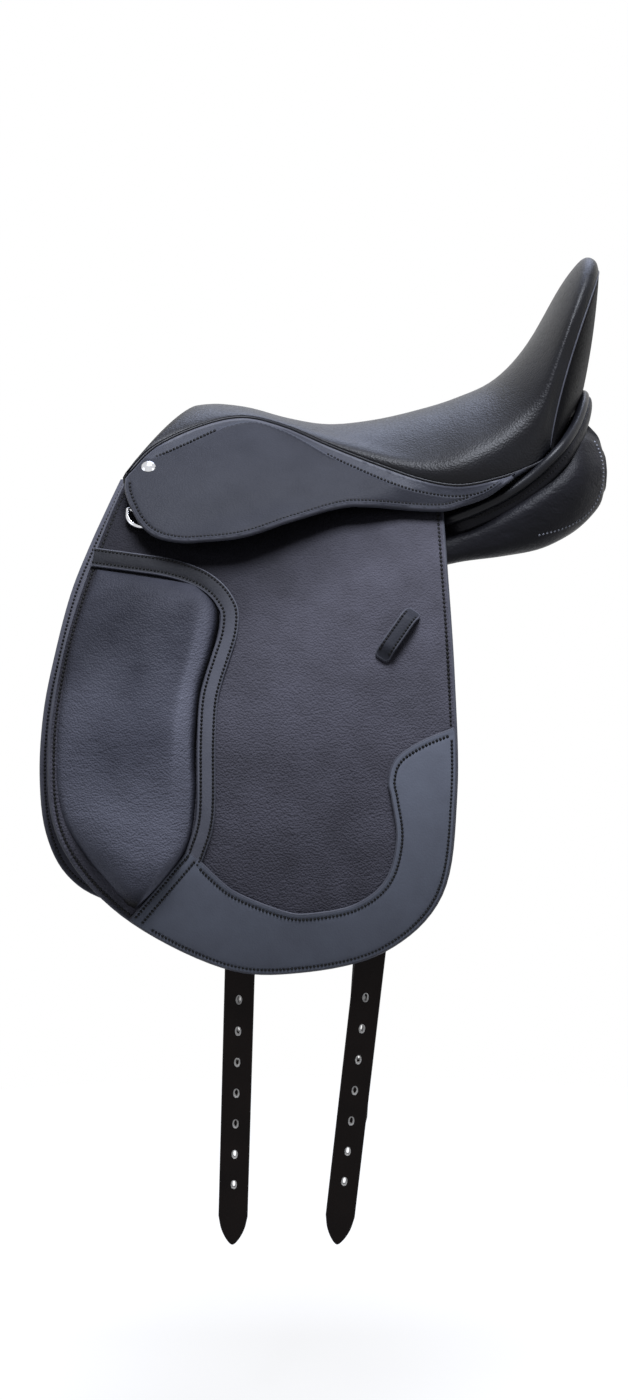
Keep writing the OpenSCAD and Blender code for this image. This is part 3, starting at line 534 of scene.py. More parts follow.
def inside(points, loop):
    """Says which points lie inside a closed loop."""
    a = loop
    b = np.roll(loop, -1, 0)
    rise = np.where(b[:, 1] == a[:, 1], 1e-9, b[:, 1] - a[:, 1])
    x = points[:, :1]
    z = points[:, 1:]
    spans = (a[:, 1] > z) != (b[:, 1] > z)
    meets = a[:, 0] + (z - a[:, 1]) * (b[:, 0] - a[:, 0]) / rise
    return np.sum(spans & (x < meets), axis=1) % 2 == 1


def nearest(points, others):
    """Distance of each point to the nearest of the others."""
    tree = kdtree.KDTree(len(others))
    for i, p in enumerate(others):
        tree.insert((p[0], p[1], 0), i)
    tree.balance()
    return np.array([tree.find((p[0], p[1], 0))[2] for p in points])


square = np.array([(0, 0), (20, 0), (20, 20), (0, 20)], float)
print("a 20 mm square in 3 mm steps has", len(dense(square, 3.0)), "points")

# %% [markdown]
# A leather sheet has a rounded edge, not a sharp one, and that light line is what shows its thickness. The
# function below fills the pattern with triangles, makes an outer and an inner face, and joins them by rings
# that follow a half ellipse. A relief function can press grooves into the outer face, for the thread to lie
# in.

# %% Leather sheet
# The rings of a rounded edge by their angle on the half ellipse, and the bands of faces that they make
edge_angles = np.radians([55, 25, 0, -25, -55])
edge_bands = len(edge_angles) + 1


def leather_sheet(outline, place, thickness, rounding=1.6, step=6.0, holes=(), rows=(), relief=None):
    """Points, faces and the number of flat faces of a closed sheet with rounded edges."""
    loops = [turned_left(dense(outline, 3.0))] + [turned_left(hole)[::-1] for hole in holes]
    rims = [moved_in(loop, rounding) for loop in loops]

    def in_leather(points):
        keep = inside(points, rims[0])
        for hole in rims[1:]:
            keep &= ~inside(points, hole)
        return keep

    fixed = np.vstack(rims)
    low = fixed.min(0)
    high = fixed.max(0)
    x, z = np.meshgrid(np.arange(low[0], high[0], step), np.arange(low[1], high[1], step * 0.87))
    x[1::2] += step / 2
    field = np.column_stack([x.ravel(), z.ravel()])
    for row in rows:
        row = row[in_leather(row)]
        row = row[nearest(row, fixed) > 0.35]
        fixed = np.vstack([fixed, row])
    field = field[in_leather(field)]
    field = field[nearest(field, fixed) > step * 0.4]
    flat = np.vstack([fixed, field])
    sides = []
    starts = [int(start) for start in np.cumsum([0] + [len(r) for r in rims])]
    for start, r in zip(starts, rims):
        sides += [(start + i, start + (i + 1) % len(r)) for i in range(len(r))]
    filled = geometry.delaunay_2d_cdt([Vector(p) for p in flat], sides, [], 0, 1e-6)
    flat = np.array([p[:] for p in filled[0]])
    home = {old: new for new, olds in enumerate(filled[3]) for old in olds}
    corners = np.array([face[:] for face in filled[2]])
    corners = corners[in_leather(flat[corners].mean(1))].tolist()
    count = len(flat)
    height = np.full(count, thickness / 2) + (relief(flat) if relief else 0.0)
    points = [place(*flat.T, height), place(*flat.T, -thickness / 2)]
    faces = [tuple(c) for c in corners] + [tuple(k + count for k in c[::-1]) for c in corners]
    flat_faces = len(faces)
    used = 2 * count
    for start, loop in zip(starts, loops):
        n = len(loop)
        rings = [[home[start + i] for i in range(n)]]
        for angle in edge_angles:
            ring = moved_in(loop, rounding * (1 - math.cos(angle)))
            points.append(place(*ring.T, thickness / 2 * math.sin(angle)))
            rings.append(list(range(used, used + n)))
            used += n
        rings.append([k + count for k in rings[0]])
        for a, b in zip(rings, rings[1:]):
            faces += [(a[i], b[i], b[(i + 1) % n], a[(i + 1) % n]) for i in range(n)]
    return np.vstack(points), faces, flat_faces


print("a 20 mm square of hide has", len(leather_sheet(square, on_side(side_radius, -1), 3.0)[1]), "faces")

# %% [markdown]
# Every mesh becomes an object in the same way: points in millimetres turn to metres, normals point outwards,
# shading is smooth, and a weighted-normal modifier keeps the flat faces of a sheet flat next to its rounded
# edges. Then the piece rides on its body and stands for the solids that it covers, which are hidden. Flap and
# skirt are one sheet over two bodies, so their place is baked into their mesh.

# %% Pieces and what carries them
# Start and end of each bend in metres: level under the skirt's edge, and aslant under the stirrup bar
bends = {
    "flap": ((0, 0, 0.009), (0, 0, -0.008)),
    "skirt": ((-0.0814, 0, 0.0545), (-0.0823, 0, 0.0445)),
}


def add_piece(name, materials, points, faces, edge_from=None):
    """A smooth mesh object; in a sheet, the faces from edge_from on take the second material."""
    mesh = bpy.data.meshes.new(name)
    mesh.from_pydata((np.asarray(points) * MM).tolist(), [], faces)
    shape = bmesh.new()
    shape.from_mesh(mesh)
    bmesh.ops.recalc_face_normals(shape, faces=shape.faces)
    shape.to_mesh(mesh)
    shape.free()
    for material in materials:
        mesh.materials.append(material)
    mesh.polygons.foreach_set("use_smooth", [True] * len(faces))
    piece = bpy.data.objects.new(name, mesh)
    scene.collection.objects.link(piece)
    if edge_from is not None:
        mesh.polygons.foreach_set("material_index", [int(i >= edge_from) for i in range(len(faces))])
        keep_flats = piece.modifiers.new("keep_flats", "WEIGHTED_NORMAL")
        keep_flats.keep_sharp = False
    return piece


def fill_slot(piece, slot, *nodes):
    """Hides the solids that the piece stands for; the slot is not used."""
    if nodes:
        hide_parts(*nodes)


def carry(piece, body, slot, *nodes):
    """Rides the piece on a body."""
    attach(piece, body)
    fill_slot(piece, slot, *nodes)


def bend(piece, side, leaf, slot, *nodes):
    """Bakes the piece's place into its mesh and hides the solids that it stands for."""
    start, end = bends[leaf]
    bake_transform(piece)
    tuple(start)
    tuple(end)
    fill_slot(piece, slot, *nodes)


for leaf, (start, end) in bends.items():
    print("a", leaf, "bends over", round(1000 * (start[2] - end[2])), "mm of its height")

# %% [markdown]
# A seam pulls its thread into the leather, and a hide is never quite flat. Both are reliefs of the outer
# face: grooves that follow lines of the pattern, and slow noise.

# %% Reliefs
stitch_offsets = (-2.4, -1.2, 0.0, 1.2, 2.4)


def across(line, offsets=stitch_offsets, step=3.0):
    """Rows of points along a line, for a relief that follows it."""
    line = even(line, step)
    return [beside(line, offset) for offset in offsets]


def groove(lines, depth, width):
    """Relief that sinks along lines."""
    dots = np.vstack([even(line, 1.0) for line in lines])

    def relief(flat):
        return -depth * np.exp(-(nearest(flat, dots) / width) ** 2)
    return relief


def ripple(flat, size, depth, seed):
    """Slow uneven swelling of a hide."""
    return np.array([depth * noise.noise((p[0] / size, p[1] / size, seed)) for p in flat])


print("a seam is meshed over", stitch_offsets[-1] - stitch_offsets[0], "mm")

# %% [markdown]
# ## Stitches
#
# Saddlers sew with a diamond awl, so each stitch lies aslant to its row. A stitch is a short bean whose ends
# dip into the leather: five rings of six points. All the stitches of one row are one mesh.

# %% Stitch rows
stitch_pitch = 3.1


def loft_faces(rings, sides):
    """Faces of a closed skin over rings of points, with one face across each end."""
    faces = []
    for i in range(rings - 1):
        for j in range(sides):
            k = (j + 1) % sides
            faces.append((i * sides + j, i * sides + k, (i + 1) * sides + k, (i + 1) * sides + j))
    return faces + [tuple(range(sides)), tuple(range((rings - 1) * sides, rings * sides))]


def stitch_row(line, place, lift, pitch=stitch_pitch, length=2.3, width=1.9, slant=18):
    """Points and faces of the stitches along a line of a flat pattern."""
    marks = even(line, pitch)
    middle = (marks[1:] + marks[:-1]) / 2
    ahead = np.diff(marks, axis=0)
    ahead /= np.linalg.norm(ahead, axis=1)[:, None]
    turn = math.radians(slant)
    ahead = ahead @ np.array([[math.cos(turn), math.sin(turn)], [-math.sin(turn), math.cos(turn)]])
    side = np.column_stack([-ahead[:, 1], ahead[:, 0]])
    along = np.array([-0.5, -0.36, 0.0, 0.36, 0.5]) * length
    half = np.array([0.2, 0.45, 0.5, 0.45, 0.2]) * width
    rise = np.array([-0.4, 0.0, 0.1, 0.0, -0.4]) * width
    angles = np.radians([0, 60, 120, 180, 240, 300])
    flat = (middle[:, None, None] + along[None, :, None, None] * ahead[:, None, None]
            + (half[:, None] * np.cos(angles))[None, :, :, None] * side[:, None, None])
    height = np.broadcast_to(lift + rise[:, None] + 0.7 * half[:, None] * np.sin(angles), flat.shape[:3])
    points = place(flat[..., 0].ravel(), flat[..., 1].ravel(), height.ravel())
    bean = loft_faces(len(along), len(angles))
    size = len(along) * len(angles)
    faces = [tuple(first + k for k in face) for first in range(0, len(points), size) for face in bean]
    return points, faces


def sew(name, lines, place, lift, material, **kind):
    """One mesh of the stitches along several lines."""
    points = []
    faces = []
    for line in lines:
        more, beans = stitch_row(line, place, lift, **kind)
        start = sum(len(p) for p in points)
        points.append(more)
        faces += [tuple(k + start for k in face) for face in beans]
    return add_piece(name, [material], np.vstack(points), faces)


print("stitches to 100 mm:", round(100 / stitch_pitch))

# %% [markdown]
# ## Flaps
#
# A flap is one big sheet that hangs from the tree and bends just under the skirt. It covers two solids, the
# fixed top and the leaf that lifts. A row of stitches runs round its edge, and a window under the skirt lets
# the stirrup bar through.

# %% Flaps
flap_thick = 5.0
flap_radius = side_radius - flap_thick / 2
flap_seam_in = 5.3
flap_points = [
    (-170, 80), (-179, 62), (-202, -2), (-223, -78), (-232, -158), (-222, -229), (-172, -290), (-90, -334.5),
    (-25, -339), (45, -321), (92, -273), (104, -190), (103, -100), (99, -8), (97, 44),
]
flap_head = [(80, 50), (40, 64), (0, 79), (-40, 84), (-102, 84), (-106, 61), (-154, 61), (-158, 80)]
flap_edge = spline(flap_points, 8)
flap_outline = np.vstack([flap_edge, flap_head])
flap_seam = beside(even(flap_edge, 3.0), flap_seam_in)
bar_window = dense(np.array([(-143.5, 25), (-104.5, 25), (-104.5, 47), (-143.5, 47)]), 3.0)
for side, hand in hands.items():
    place = on_side(flap_radius, hand)
    sink = groove([flap_seam], depth=0.9, width=1.5)
    flap = add_piece(f"{side}_flap_hide", [grained_hide, edge_painted_highlight], *leather_sheet(
        flap_outline, place, flap_thick, rounding=2.2, holes=[bar_window], rows=across(flap_seam),
        relief=lambda f: sink(f) + ripple(f, size=55, depth=0.5, seed=3.0)))
    bend(flap, side, "flap", "black_leather", f"{side}_flap_top", f"{side}_flap")
    seam = sew(f"{side}_flap_stitches", [flap_seam], place, flap_thick / 2 - 1.0, black_thread, pitch=3.4,
               length=3.2, width=2.7, slant=34)
    bend(seam, side, "flap", "black_leather")
print("flap faces:", len(flap.data.polygons))

# %% [markdown]
# ## Sweat flaps
#
# The sweat flap keeps the girth straps off the horse. Only a narrow border of it shows in front of the flap,
# so it needs a clean edge and a row of stitches there.

# %% Sweat flaps
sweat_thick = 4.0
sweat_radius = 434.6
sweat_points = [
    (-182, 68), (-190, 48), (-205, 10), (-218.5, -29), (-229.5, -78), (-237.5, -125), (-239.8, -176),
    (-234.5, -223), (-217, -258.5), (-183, -280), (-110, -297), (-30, -300), (45, -290), (84, -248),
    (92, -150), (91, -20), (91, 30),
]
sweat_edge = spline(sweat_points, 6)
sweat_outline = np.vstack([sweat_edge, [(60, 30), (-92, 30), (-104, 76)]])
sweat_seam = beside(even(sweat_edge, 3.0), 4.5)
for side, hand in hands.items():
    place = on_side(sweat_radius, hand)
    sheet = add_piece(f"{side}_sweat_hide", [lining_and_painted_light, edge_painted_highlight], *leather_sheet(
        sweat_outline, place, sweat_thick, rounding=1.8, step=9.0, rows=across(sweat_seam),
        relief=groove([sweat_seam], depth=0.5, width=1.5)))
    carry(sheet, "saddle", "panel_leather", f"{side}_sweat_flap")
    seam = sew(f"{side}_sweat_stitches", [sweat_seam], place, sweat_thick / 2 - 0.4, black_thread)
    carry(seam, "saddle", "panel_leather")
print("sweat flap faces:", len(sheet.data.polygons))

# %% [markdown]
# ## Thigh blocks
#
# The block is foam under hide drawn tight. It starts flat behind the front stitches, swells towards its rear
# and falls steeply into a crease along the strip. Its height comes from a rounded profile with slow folds on
# it. Light and shade are painted into its dye as well: a share kept with each point paints a highlight on the
# shoulder, paler light on two bands, and black shade in the creases.

# %% Shape of the thigh blocks
block_thick = 14.5


def block_height(s, t, x, z):
    """Height of the pad over the flap, with folds that run down and back; s runs down and t to the rear."""
    peak = 0.66
    front = np.clip((peak - t) / peak, 0, 1)
    rear = np.clip((t - peak) / (1 - peak), 0, 1)
    profile = (1 - front ** 2.1) ** 0.8 * (1 - rear ** 4.5) ** 0.5
    top_end = np.clip(1 - s / 0.16, 0, 1)
    low_end = np.clip(1 - (1 - s) / 0.1, 0, 1)
    ends = (1 - top_end ** 2) ** 0.7 * (1 - low_end ** 2) ** 0.6
    pad = block_thick * profile * ends
    swelling = -1.5 * math.sin(math.radians(360 * (z + 108 + 0.25 * (x + 165)) / 108))
    folds = noise.noise(((x + 0.5 * z) / 34, (z - 0.2 * x) / 80, 5.0))
    dents = noise.noise((x / 16, z / 20, 9.0))
    return 0.4 + pad + (swelling + 0.9 * folds + 0.3 * dents) * profile * ends


def bell(distance, width):
    """Falls from 1 to almost nothing over twice the width."""
    return math.exp(-(distance / width) ** 2)


def block_painted_light(s, t, z):
    """Painted light and shade on the block: a painted highlight on the shoulder, paler light on two bands,
    black painted shade in a crease.
    """
    shoulder_highlight = 0.4 * bell(t - 0.9, 0.05) * np.clip((-30 - z) / 30, 0, 1)
    low = 0.3 * bell(z + 216, 40)
    high = 0.2 * bell(z + 125, 34) * bell(t - 0.15, 0.2)
    rear_crease = bell(1 - t, 0.026)
    front_crease = bell(t, 0.03) * np.clip((s - 0.6) / 0.2, 0, 1)
    low_crease = bell(1 - s, 0.045)
    return 0.29 + shoulder_highlight + low + high - 0.64 * max(rear_crease, front_crease, low_crease)


print("pad in the middle of a block:", round(float(block_height(0.5, 0.66, -150, -150)), 1), "mm")

# %% [markdown]
# A grid of points follows the block's front and rear lines. The same grid, laid flat on the flap, closes it
# underneath.

# %% Thigh blocks
block_front = [(-195, -8), (-209, -50), (-218, -95), (-223.5, -140), (-223.5, -180), (-217, -212),
               (-200, -241), (-181, -263), (-166, -281)]
block_rear = [(-113, -20), (-92.6, -43), (-97, -76), (-106.6, -110), (-110, -150), (-110.4, -195),
              (-116.4, -231), (-134, -257), (-160, -284)]
block_rows = 72
block_columns = 40
front_line = spread(even(spline(block_front, 8), 4.0), block_rows)
rear_line = spread(even(spline(block_rear, 8), 4.0), block_rows)


def grid_faces(rows, columns):
    """Faces of a grid of points."""
    return [(i * columns + j, i * columns + j + 1, (i + 1) * columns + j + 1, (i + 1) * columns + j)
            for i in range(rows - 1) for j in range(columns - 1)]


row_points = block_columns + 1
net_points = (block_rows + 1) * row_points
outer = grid_faces(block_rows + 1, row_points)
inner = [tuple(net_points + k for k in face[:1] + face[:0:-1]) for face in outer]
border = list(range(row_points)) + [i * row_points + row_points - 1 for i in range(1, block_rows + 1)]
border += [block_rows * row_points + j for j in range(row_points - 2, -1, -1)]
border += [i * row_points for i in range(block_rows - 1, 0, -1)]
walls = [(a, b, net_points + b, net_points + a) for a, b in zip(border, border[1:] + border[:1])]
for side, hand in hands.items():
    place = on_side(side_radius, hand)
    top = []
    under = []
    painted_light = []
    for i, s in enumerate(np.linspace(0, 1, block_rows + 1)):
        for t in np.linspace(0, 1, row_points) ** 0.85:
            x, z = front_line[i] + t * (rear_line[i] - front_line[i])
            top.append(place(x, z, block_height(s, t, x, z))[0])
            under.append(place(x, z, 0.2)[0])
            painted_light.append(block_painted_light(s, t, z))
    block = add_piece(f"{side}_thigh_pad", [padded_hide], np.vstack([top, under]), outer + inner + walls)
    # Painted light and shade for the dye, one share for each point
    shares = block.data.attributes.new("painted_light", "FLOAT", "POINT")
    shares.data.foreach_set("value", painted_light + [0.0] * net_points)
    carry(block, f"{side}_flap", "black_leather", f"{side}_thigh_block")
print("thigh block faces:", len(block.data.polygons))

# %% [markdown]
# ## Block strips
#
# A strip of sanded hide is sewn over the block's edge with a row of stitches along each side. Its upper end
# lies in the flap's bend, just under the skirt's edge.

# %% Block strips
sewn_gap = 0.3
strip_thick = 2.6
strip_half = 7.8
strip_radius = side_radius + sewn_gap + strip_thick / 2
strip_points = [
    (-200, 2.5), (-166, -2), (-135.5, -6.6), (-110.5, -14.6), (-95, -25), (-86, -37), (-83.5, -46),
    (-85, -61.5), (-90.5, -79.3), (-96.5, -98), (-100.3, -116), (-101.7, -149), (-102.2, -207),
    (-110, -236), (-114.5, -246),
]
strip_line = spline(strip_points, 10)
strip_outline = np.vstack([beside(strip_line, strip_half), beside(strip_line, -strip_half)[::-1]])
strip_seams = [beside(strip_line, strip_half - 2.2), beside(strip_line, 3.4 - strip_half)]
for side, hand in hands.items():
    place = on_side(strip_radius, hand)
    rows = [row for seam in strip_seams for row in across(seam, (-1.1, 0, 1.1))]
    strip = add_piece(f"{side}_strip_hide", [sanded_hide, edge_painted_highlight], *leather_sheet(
        strip_outline, place, strip_thick, rounding=1.1, step=4.0, rows=rows,
        relief=groove(strip_seams, depth=0.6, width=1.2)))
    bend(strip, side, "flap", "smooth_leather", f"{side}_block_strip")
    seam = sew(f"{side}_strip_stitches", strip_seams, place, strip_thick / 2 - 0.4, black_thread, width=2.2)
    bend(seam, side, "flap", "smooth_leather")
print("strip faces:", len(strip.data.polygons))

# %% [markdown]
# ## Wear patches
#
# A patch of buffed hide takes the rub of the rider's boot. Its front end is the foot of the strip, with the
# same two rows of stitches. The patch reaches almost to the hem, so the flap's own seam shows on it too.

# %% Wear patches
patch_thick = 2.8
foot_half = 5.6
patch_radius = side_radius + sewn_gap + patch_thick / 2
patch_points = [
    (-107.7, -242.1), (-90, -259.5), (-74, -271), (-37, -285.5), (-15, -287), (20, -279.5), (44.5, -259.5),
    (53.5, -226.5), (49.5, -194), (47, -179), (53, -161), (73, -147), (101, -135.5),
]
patch_top = spline(patch_points, 8)
foot_line = even([(-112, -238.5), (-160.3, -295.5)], 3.0)
hem = even(flap_edge, 3.0)
hem = hem[(hem[:, 1] < -137) & (hem[:, 0] > -162.5)]
patch_outline = np.vstack([patch_top, beside(hem, 1.3)[::-1], beside(foot_line, -foot_half)[::-1]])
patch_seams = [beside(even(patch_top, 3.0), -5.2)[2:-2], beside(hem, flap_seam_in)[5:-2],
               beside(foot_line, -2.3)[1:-1], beside(foot_line, 4.7)[1:-1]]
for side, hand in hands.items():
    place = on_side(patch_radius, hand)
    sink = groove(patch_seams, depth=0.6, width=1.4)
    rows = [row for seam in patch_seams for row in across(seam)]
    patch = add_piece(f"{side}_patch_hide", [buffed_hide, edge_painted_highlight], *leather_sheet(
        patch_outline, place, patch_thick, rounding=1.4, rows=rows,
        relief=lambda f: sink(f) + ripple(f, size=60, depth=0.4, seed=6.0)))
    carry(patch, f"{side}_flap", "smooth_leather", f"{side}_wear_patch")
    seam = sew(f"{side}_patch_stitches", patch_seams, place, patch_thick / 2 - 0.45, black_thread, width=2.2)
    carry(seam, f"{side}_flap", "smooth_leather")
print("patch faces:", len(patch.data.polygons))

# %% [markdown]
# ## Leather keepers
#
# The keeper is a loop that holds the end of a stirrup leather. It is a short strap whose ends are sewn down
# and whose middle stands off the flap, so its height follows a soft arch.

# %% Leather keepers
keeper_middle = np.array([56, -62])
keeper_turn = math.radians(56)
keeper_squeeze = math.cos(math.asin((keeper_middle[1] - side_centre_z) / side_radius))
keeper_long = 52
keeper_wide = 14
keeper_thick = 3.0
keeper_arch = 6.2
keeper_slope = 12
corner = 4
keeper_outline = []
for cx, cy, start in ((1, 1, 0), (-1, 1, 90), (-1, -1, 180), (1, -1, 270)):
    for angle in np.radians(start + np.array([0, 22.5, 45, 67.5, 90])):
        keeper_outline.append((cx * (keeper_long / 2 - corner) + corner * math.cos(angle),
                               cy * (keeper_wide / 2 - corner) + corner * math.sin(angle)))
keeper_outline = np.array(keeper_outline)
keeper_seams = [np.array([(-21.0, wide), (21.0, wide)]) for wide in (-4.6, 4.6)]


def on_keeper(hand):
    """Lays the keeper's own pattern, long by wide, on the flap."""
    lay = on_side(side_radius, hand)

    def place(along, wide, height):
        x = keeper_middle[0] + along * math.cos(keeper_turn) - wide * math.sin(keeper_turn)
        up = along * math.sin(keeper_turn) + wide * math.cos(keeper_turn)
        arch = keeper_arch * smooth((keeper_long / 2 - np.abs(along)) / keeper_slope)
        return lay(x, keeper_middle[1] + up * keeper_squeeze, sewn_gap + keeper_thick / 2 + arch + height)
    return place


for side, hand in hands.items():
    place = on_keeper(hand)
    keeper = add_piece(f"{side}_keeper_loop", [bridle_hide, edge_painted_highlight], *leather_sheet(
        keeper_outline, place, keeper_thick, rounding=1.2, step=3.0,
        rows=[even(seam, 2.0) for seam in keeper_seams],
        relief=groove(keeper_seams, depth=0.4, width=1.2)))
    carry(keeper, f"{side}_flap", "smooth_leather", f"{side}_leather_keeper")
    seam = sew(f"{side}_keeper_stitches", keeper_seams, place, keeper_thick / 2 - 0.3, black_thread)
    carry(seam, f"{side}_flap", "smooth_leather")
print("keeper faces:", len(keeper.data.polygons))

# %% [markdown]
# ## Seat
#
# The seat is one skin over foam. Stations run from the pommel to the rim of the cantle; at each one the skin
# rises from the skirt's edge to the ridge in the middle. In front it is a plain dome. Further back it stands
# up steeply at the sides and turns over a soft hip, and at the rim it is a round arch. So there are three
# profiles across, and each station blends them.

# %% Profiles of the seat
# The ridge and the edge in x and z, one pair of points for each station
ridge = [
    (-117, 136), (-108, 137), (-95, 137), (-70, 133.5), (-35, 124), (0, 119), (40, 123), (80, 132),
    (115, 143), (150, 160), (180, 193), (205, 239), (221, 261), (230.5, 268), (237.5, 264), (240, 254.5),
]
edge = [
    (-174.5, 73.5), (-151.5, 97.8), (-112, 117), (-76, 124.5), (-40, 116.5), (0, 99), (40, 83), (80, 69),
    (112, 64.5), (145, 71), (168, 79), (180, 84.5), (184.5, 87.5), (187, 89.5), (189, 91), (190, 92),
]
last_station = len(ridge) - 1


def eased(u, start, end):
    """Goes smoothly from 0 to 1 between two stations."""
    return float(smooth((u - start) / (end - start)))


def front_profile(u, v):
    """Share of the half-width and of the rise across the front of the seat, a plain dome."""
    full = 1 + 0.6 * math.sin(math.pi * u / last_station)
    return np.column_stack([v, (1 - v ** 2.1) ** (1 / full)])


def hip_profile(u, v):
    """The same across the rear of the seat: a top that falls to a hip, then a side that stands up."""
    hip = np.interp(u, [5, 6, 7, 8, 9, 10, 11, 14], [0.03, 0.1, 0.22, 0.32, 0.4, 0.44, 0.48, 0.6])
    hip_v = 0.72
    hip_wide = 0.955
    top = np.clip(v / hip_v, 0, 1)
    side = np.clip((v - hip_v) / (1 - hip_v), 0, 1)
    wide = hip_wide * top + (1 - hip_wide) * side + 0.1 * side * (1 - side)
    rise = 1 - (1 - hip) * top ** 2.2 - hip * side
    profile = np.column_stack([wide, rise])
    for _ in range(round(6 + 14 * eased(u, 9, 12))):
        profile[1:-1] = (profile[:-2] + 2 * profile[1:-1] + profile[2:]) / 4
    return profile


def rim_profile(v):
    """The same at the rim of the cantle, a round arch."""
    return np.column_stack([v, (1 - v ** 3) ** 0.59])


print("seat stations:", len(ridge))

# %% [markdown]
# The rows of points go from the middle to one edge and are mirrored. The hip and the cantle are one soft
# turn, so the points there are averaged with their neighbours some times over.

# %% Net of the seat
skirt_radius = 468.5
per_station = 6
ridge_line = spline(ridge, per_station)
edge_line = spline(edge, per_station)
half_v = np.sin(np.radians(np.linspace(0, 90, 41)))
seat_v = np.concatenate([-half_v[:0:-1], half_v])


def seat_row(k, v):
    """Points of one half row, from the middle to the edge."""
    u = k / per_station
    middle = ridge_line[k]
    side_point = edge_line[k]
    half = math.sqrt(skirt_radius ** 2 - (side_point[1] - side_centre_z) ** 2) - side_centre_y
    profile = front_profile(u, v)
    profile += eased(u, 3.5, 8) * (hip_profile(u, v) - profile)
    profile += eased(u, 10.5, 15) * (rim_profile(v) - profile)
    wide, rise = profile.T
    back = v ** (1.6 + u / last_station)
    back += eased(u, 9, 12) * (1 - np.clip(rise, 0, 1) ** 1.4 - back)
    x = middle[0] + (side_point[0] - middle[0]) * back
    return np.column_stack([x, wide * half, side_point[1] + (middle[1] - side_point[1]) * rise])


seat_net = []
weight = []
for k in range(len(ridge_line)):
    row = seat_row(k, half_v)
    seat_net.append(np.vstack([row[:0:-1] * np.array([1, -1, 1]), row]))
    u = k / per_station
    weight.append(0.5 * eased(u, 8, 10.5) * (1 - 0.7 * eased(u, 11, 13)))
seat_net = np.array(seat_net)
weight = np.array(weight)[1:-1, None, None]
for _ in range(14):
    around = (seat_net[:-2, 1:-1] + seat_net[2:, 1:-1] + seat_net[1:-1, :-2] + seat_net[1:-1, 2:]) / 4
    seat_net[1:-1, 1:-1] += weight * (around - seat_net[1:-1, 1:-1])
print("seat rows:", len(seat_net), "of", len(seat_v), "points")

# %% [markdown]
# The front of the seat turns under into the arch of the pommel. A few extra rows in front carry the skin
# down and back, and a Solidify modifier gives the whole skin its thickness.

# %% Seat leather
skin_thick = 3
lip = [(9, -17), (2.5, -14.5), (-1.5, -9.5), (-2.2, -4)]


def add_skin(piece):
    """Gives a net of points the thickness of a hide, inwards."""
    skin = piece.modifiers.new("skin", "SOLIDIFY")
    skin.thickness = skin_thick * MM
    skin.offset = -1


lip_rows = [seat_net[0] + np.array([dx, 0, dz]) for dx, dz in lip]
seat_grid = np.vstack(lip_rows + list(seat_net))
seat = add_piece("seat_hide", [soft_calf], seat_grid, grid_faces(len(lip) + len(seat_net), len(seat_v)))
add_skin(seat)
carry(seat, "saddle", "black_leather", "seat_cover", "seat_foam")
print("seat faces:", len(seat.data.polygons))

# %% [markdown]
# ## Cantle
#
# Behind the rim a facing of leather closes the cantle down to the roll round its foot. It is a net between
# two arches, with a slight bulge.

# %% Cantle facing
facing_count = 15
rim = seat_net[-1]
cantle_v = np.abs(seat_v)
foot = np.column_stack([228 + (190.5 - 228) * cantle_v ** 1.8, seat_v * 108,
                        82 + 66 * (1 - cantle_v ** 1.7) ** 0.8])
facing_rows = []
for s in np.linspace(0, 1, facing_count):
    row = rim + s * (foot - rim)
    row[:, 0] += 2.6 * math.sin(math.pi * s) ** 0.8 * (1 - 0.8 * cantle_v ** 8)
    facing_rows.append(row)
facing_faces = grid_faces(facing_count, len(seat_v))
facing = add_piece("cantle_hide", [facing_hide], np.vstack(facing_rows), facing_faces)
add_skin(facing)
carry(facing, "saddle", "black_leather", "cantle_facing")
print("facing faces:", len(facing.data.polygons))

# %% [markdown]
# The roll is hide drawn over a thick cord. Under it a second, flatter band joins it to the panels, and a
# thin piping follows the rim. All three are tubes: rings of points carried along a path.

# %% Roll, band and piping
def tube(path, wide, high, sides=14, ends=3):
    """Points and faces of a closed tube along a path; wide lies flat and high stands up."""
    path = np.asarray(path, float)
    ahead = np.gradient(path, axis=0)
    ahead /= np.linalg.norm(ahead, axis=1)[:, None]
    flat = np.cross(ahead, (0, 0, 1))
    flat /= np.linalg.norm(flat, axis=1)[:, None]
    up = np.cross(flat, ahead)
    swell = np.ones(len(path))
    for k in range(ends):
        swell[k] = swell[-1 - k] = math.sin(math.radians(90 * (k + 0.35) / ends))
    points = []
    for angle in np.radians(np.arange(sides) * 360 / sides):
        reach = wide * math.cos(angle) * flat + high * math.sin(angle) * up
        points.append(path + swell[:, None] * reach)
    return np.stack(points, 1).reshape(-1, 3), loft_faces(len(path), sides)


roll_half = [
    (80, -113, 29), (93, -117, 31), (108, -124, 36), (126, -124, 43), (150, -121, 54.5), (172, -117, 69.5),
    (190, -113, 86), (203, -102, 100), (216, -74, 118), (225, -40, 136),
]
roll_path = spline(roll_half + [(229, 0, 145)] + [(x, -y, z) for x, y, z in roll_half[::-1]], 8)
roll = add_piece("cantle_roll_hide", [piping_hide], *tube(roll_path, 4.6, 4.6, sides=20))
carry(roll, "saddle", "black_leather", "cantle_roll")
band_path = roll_path * np.array([1, 0.975, 1]) + np.array([5.0, 0, -7.0])
band_shape = tube(band_path, 2.4, 6, sides=20)
band = add_piece("cantle_band_hide", [panel_hide], *band_shape)
carry(band, "saddle", "panel_leather")
rim_path = rim + np.array([-0.5, 0, 0])
# The rim piping takes the paler edge hide, so it shows as a pale line: a painted highlight
piping = add_piece("cantle_rim_piping", [edge_painted_highlight], *tube(rim_path, 0.9, 0.9, sides=10))
carry(piping, "saddle", "black_leather")
print("roll path:", len(roll_path), "points")

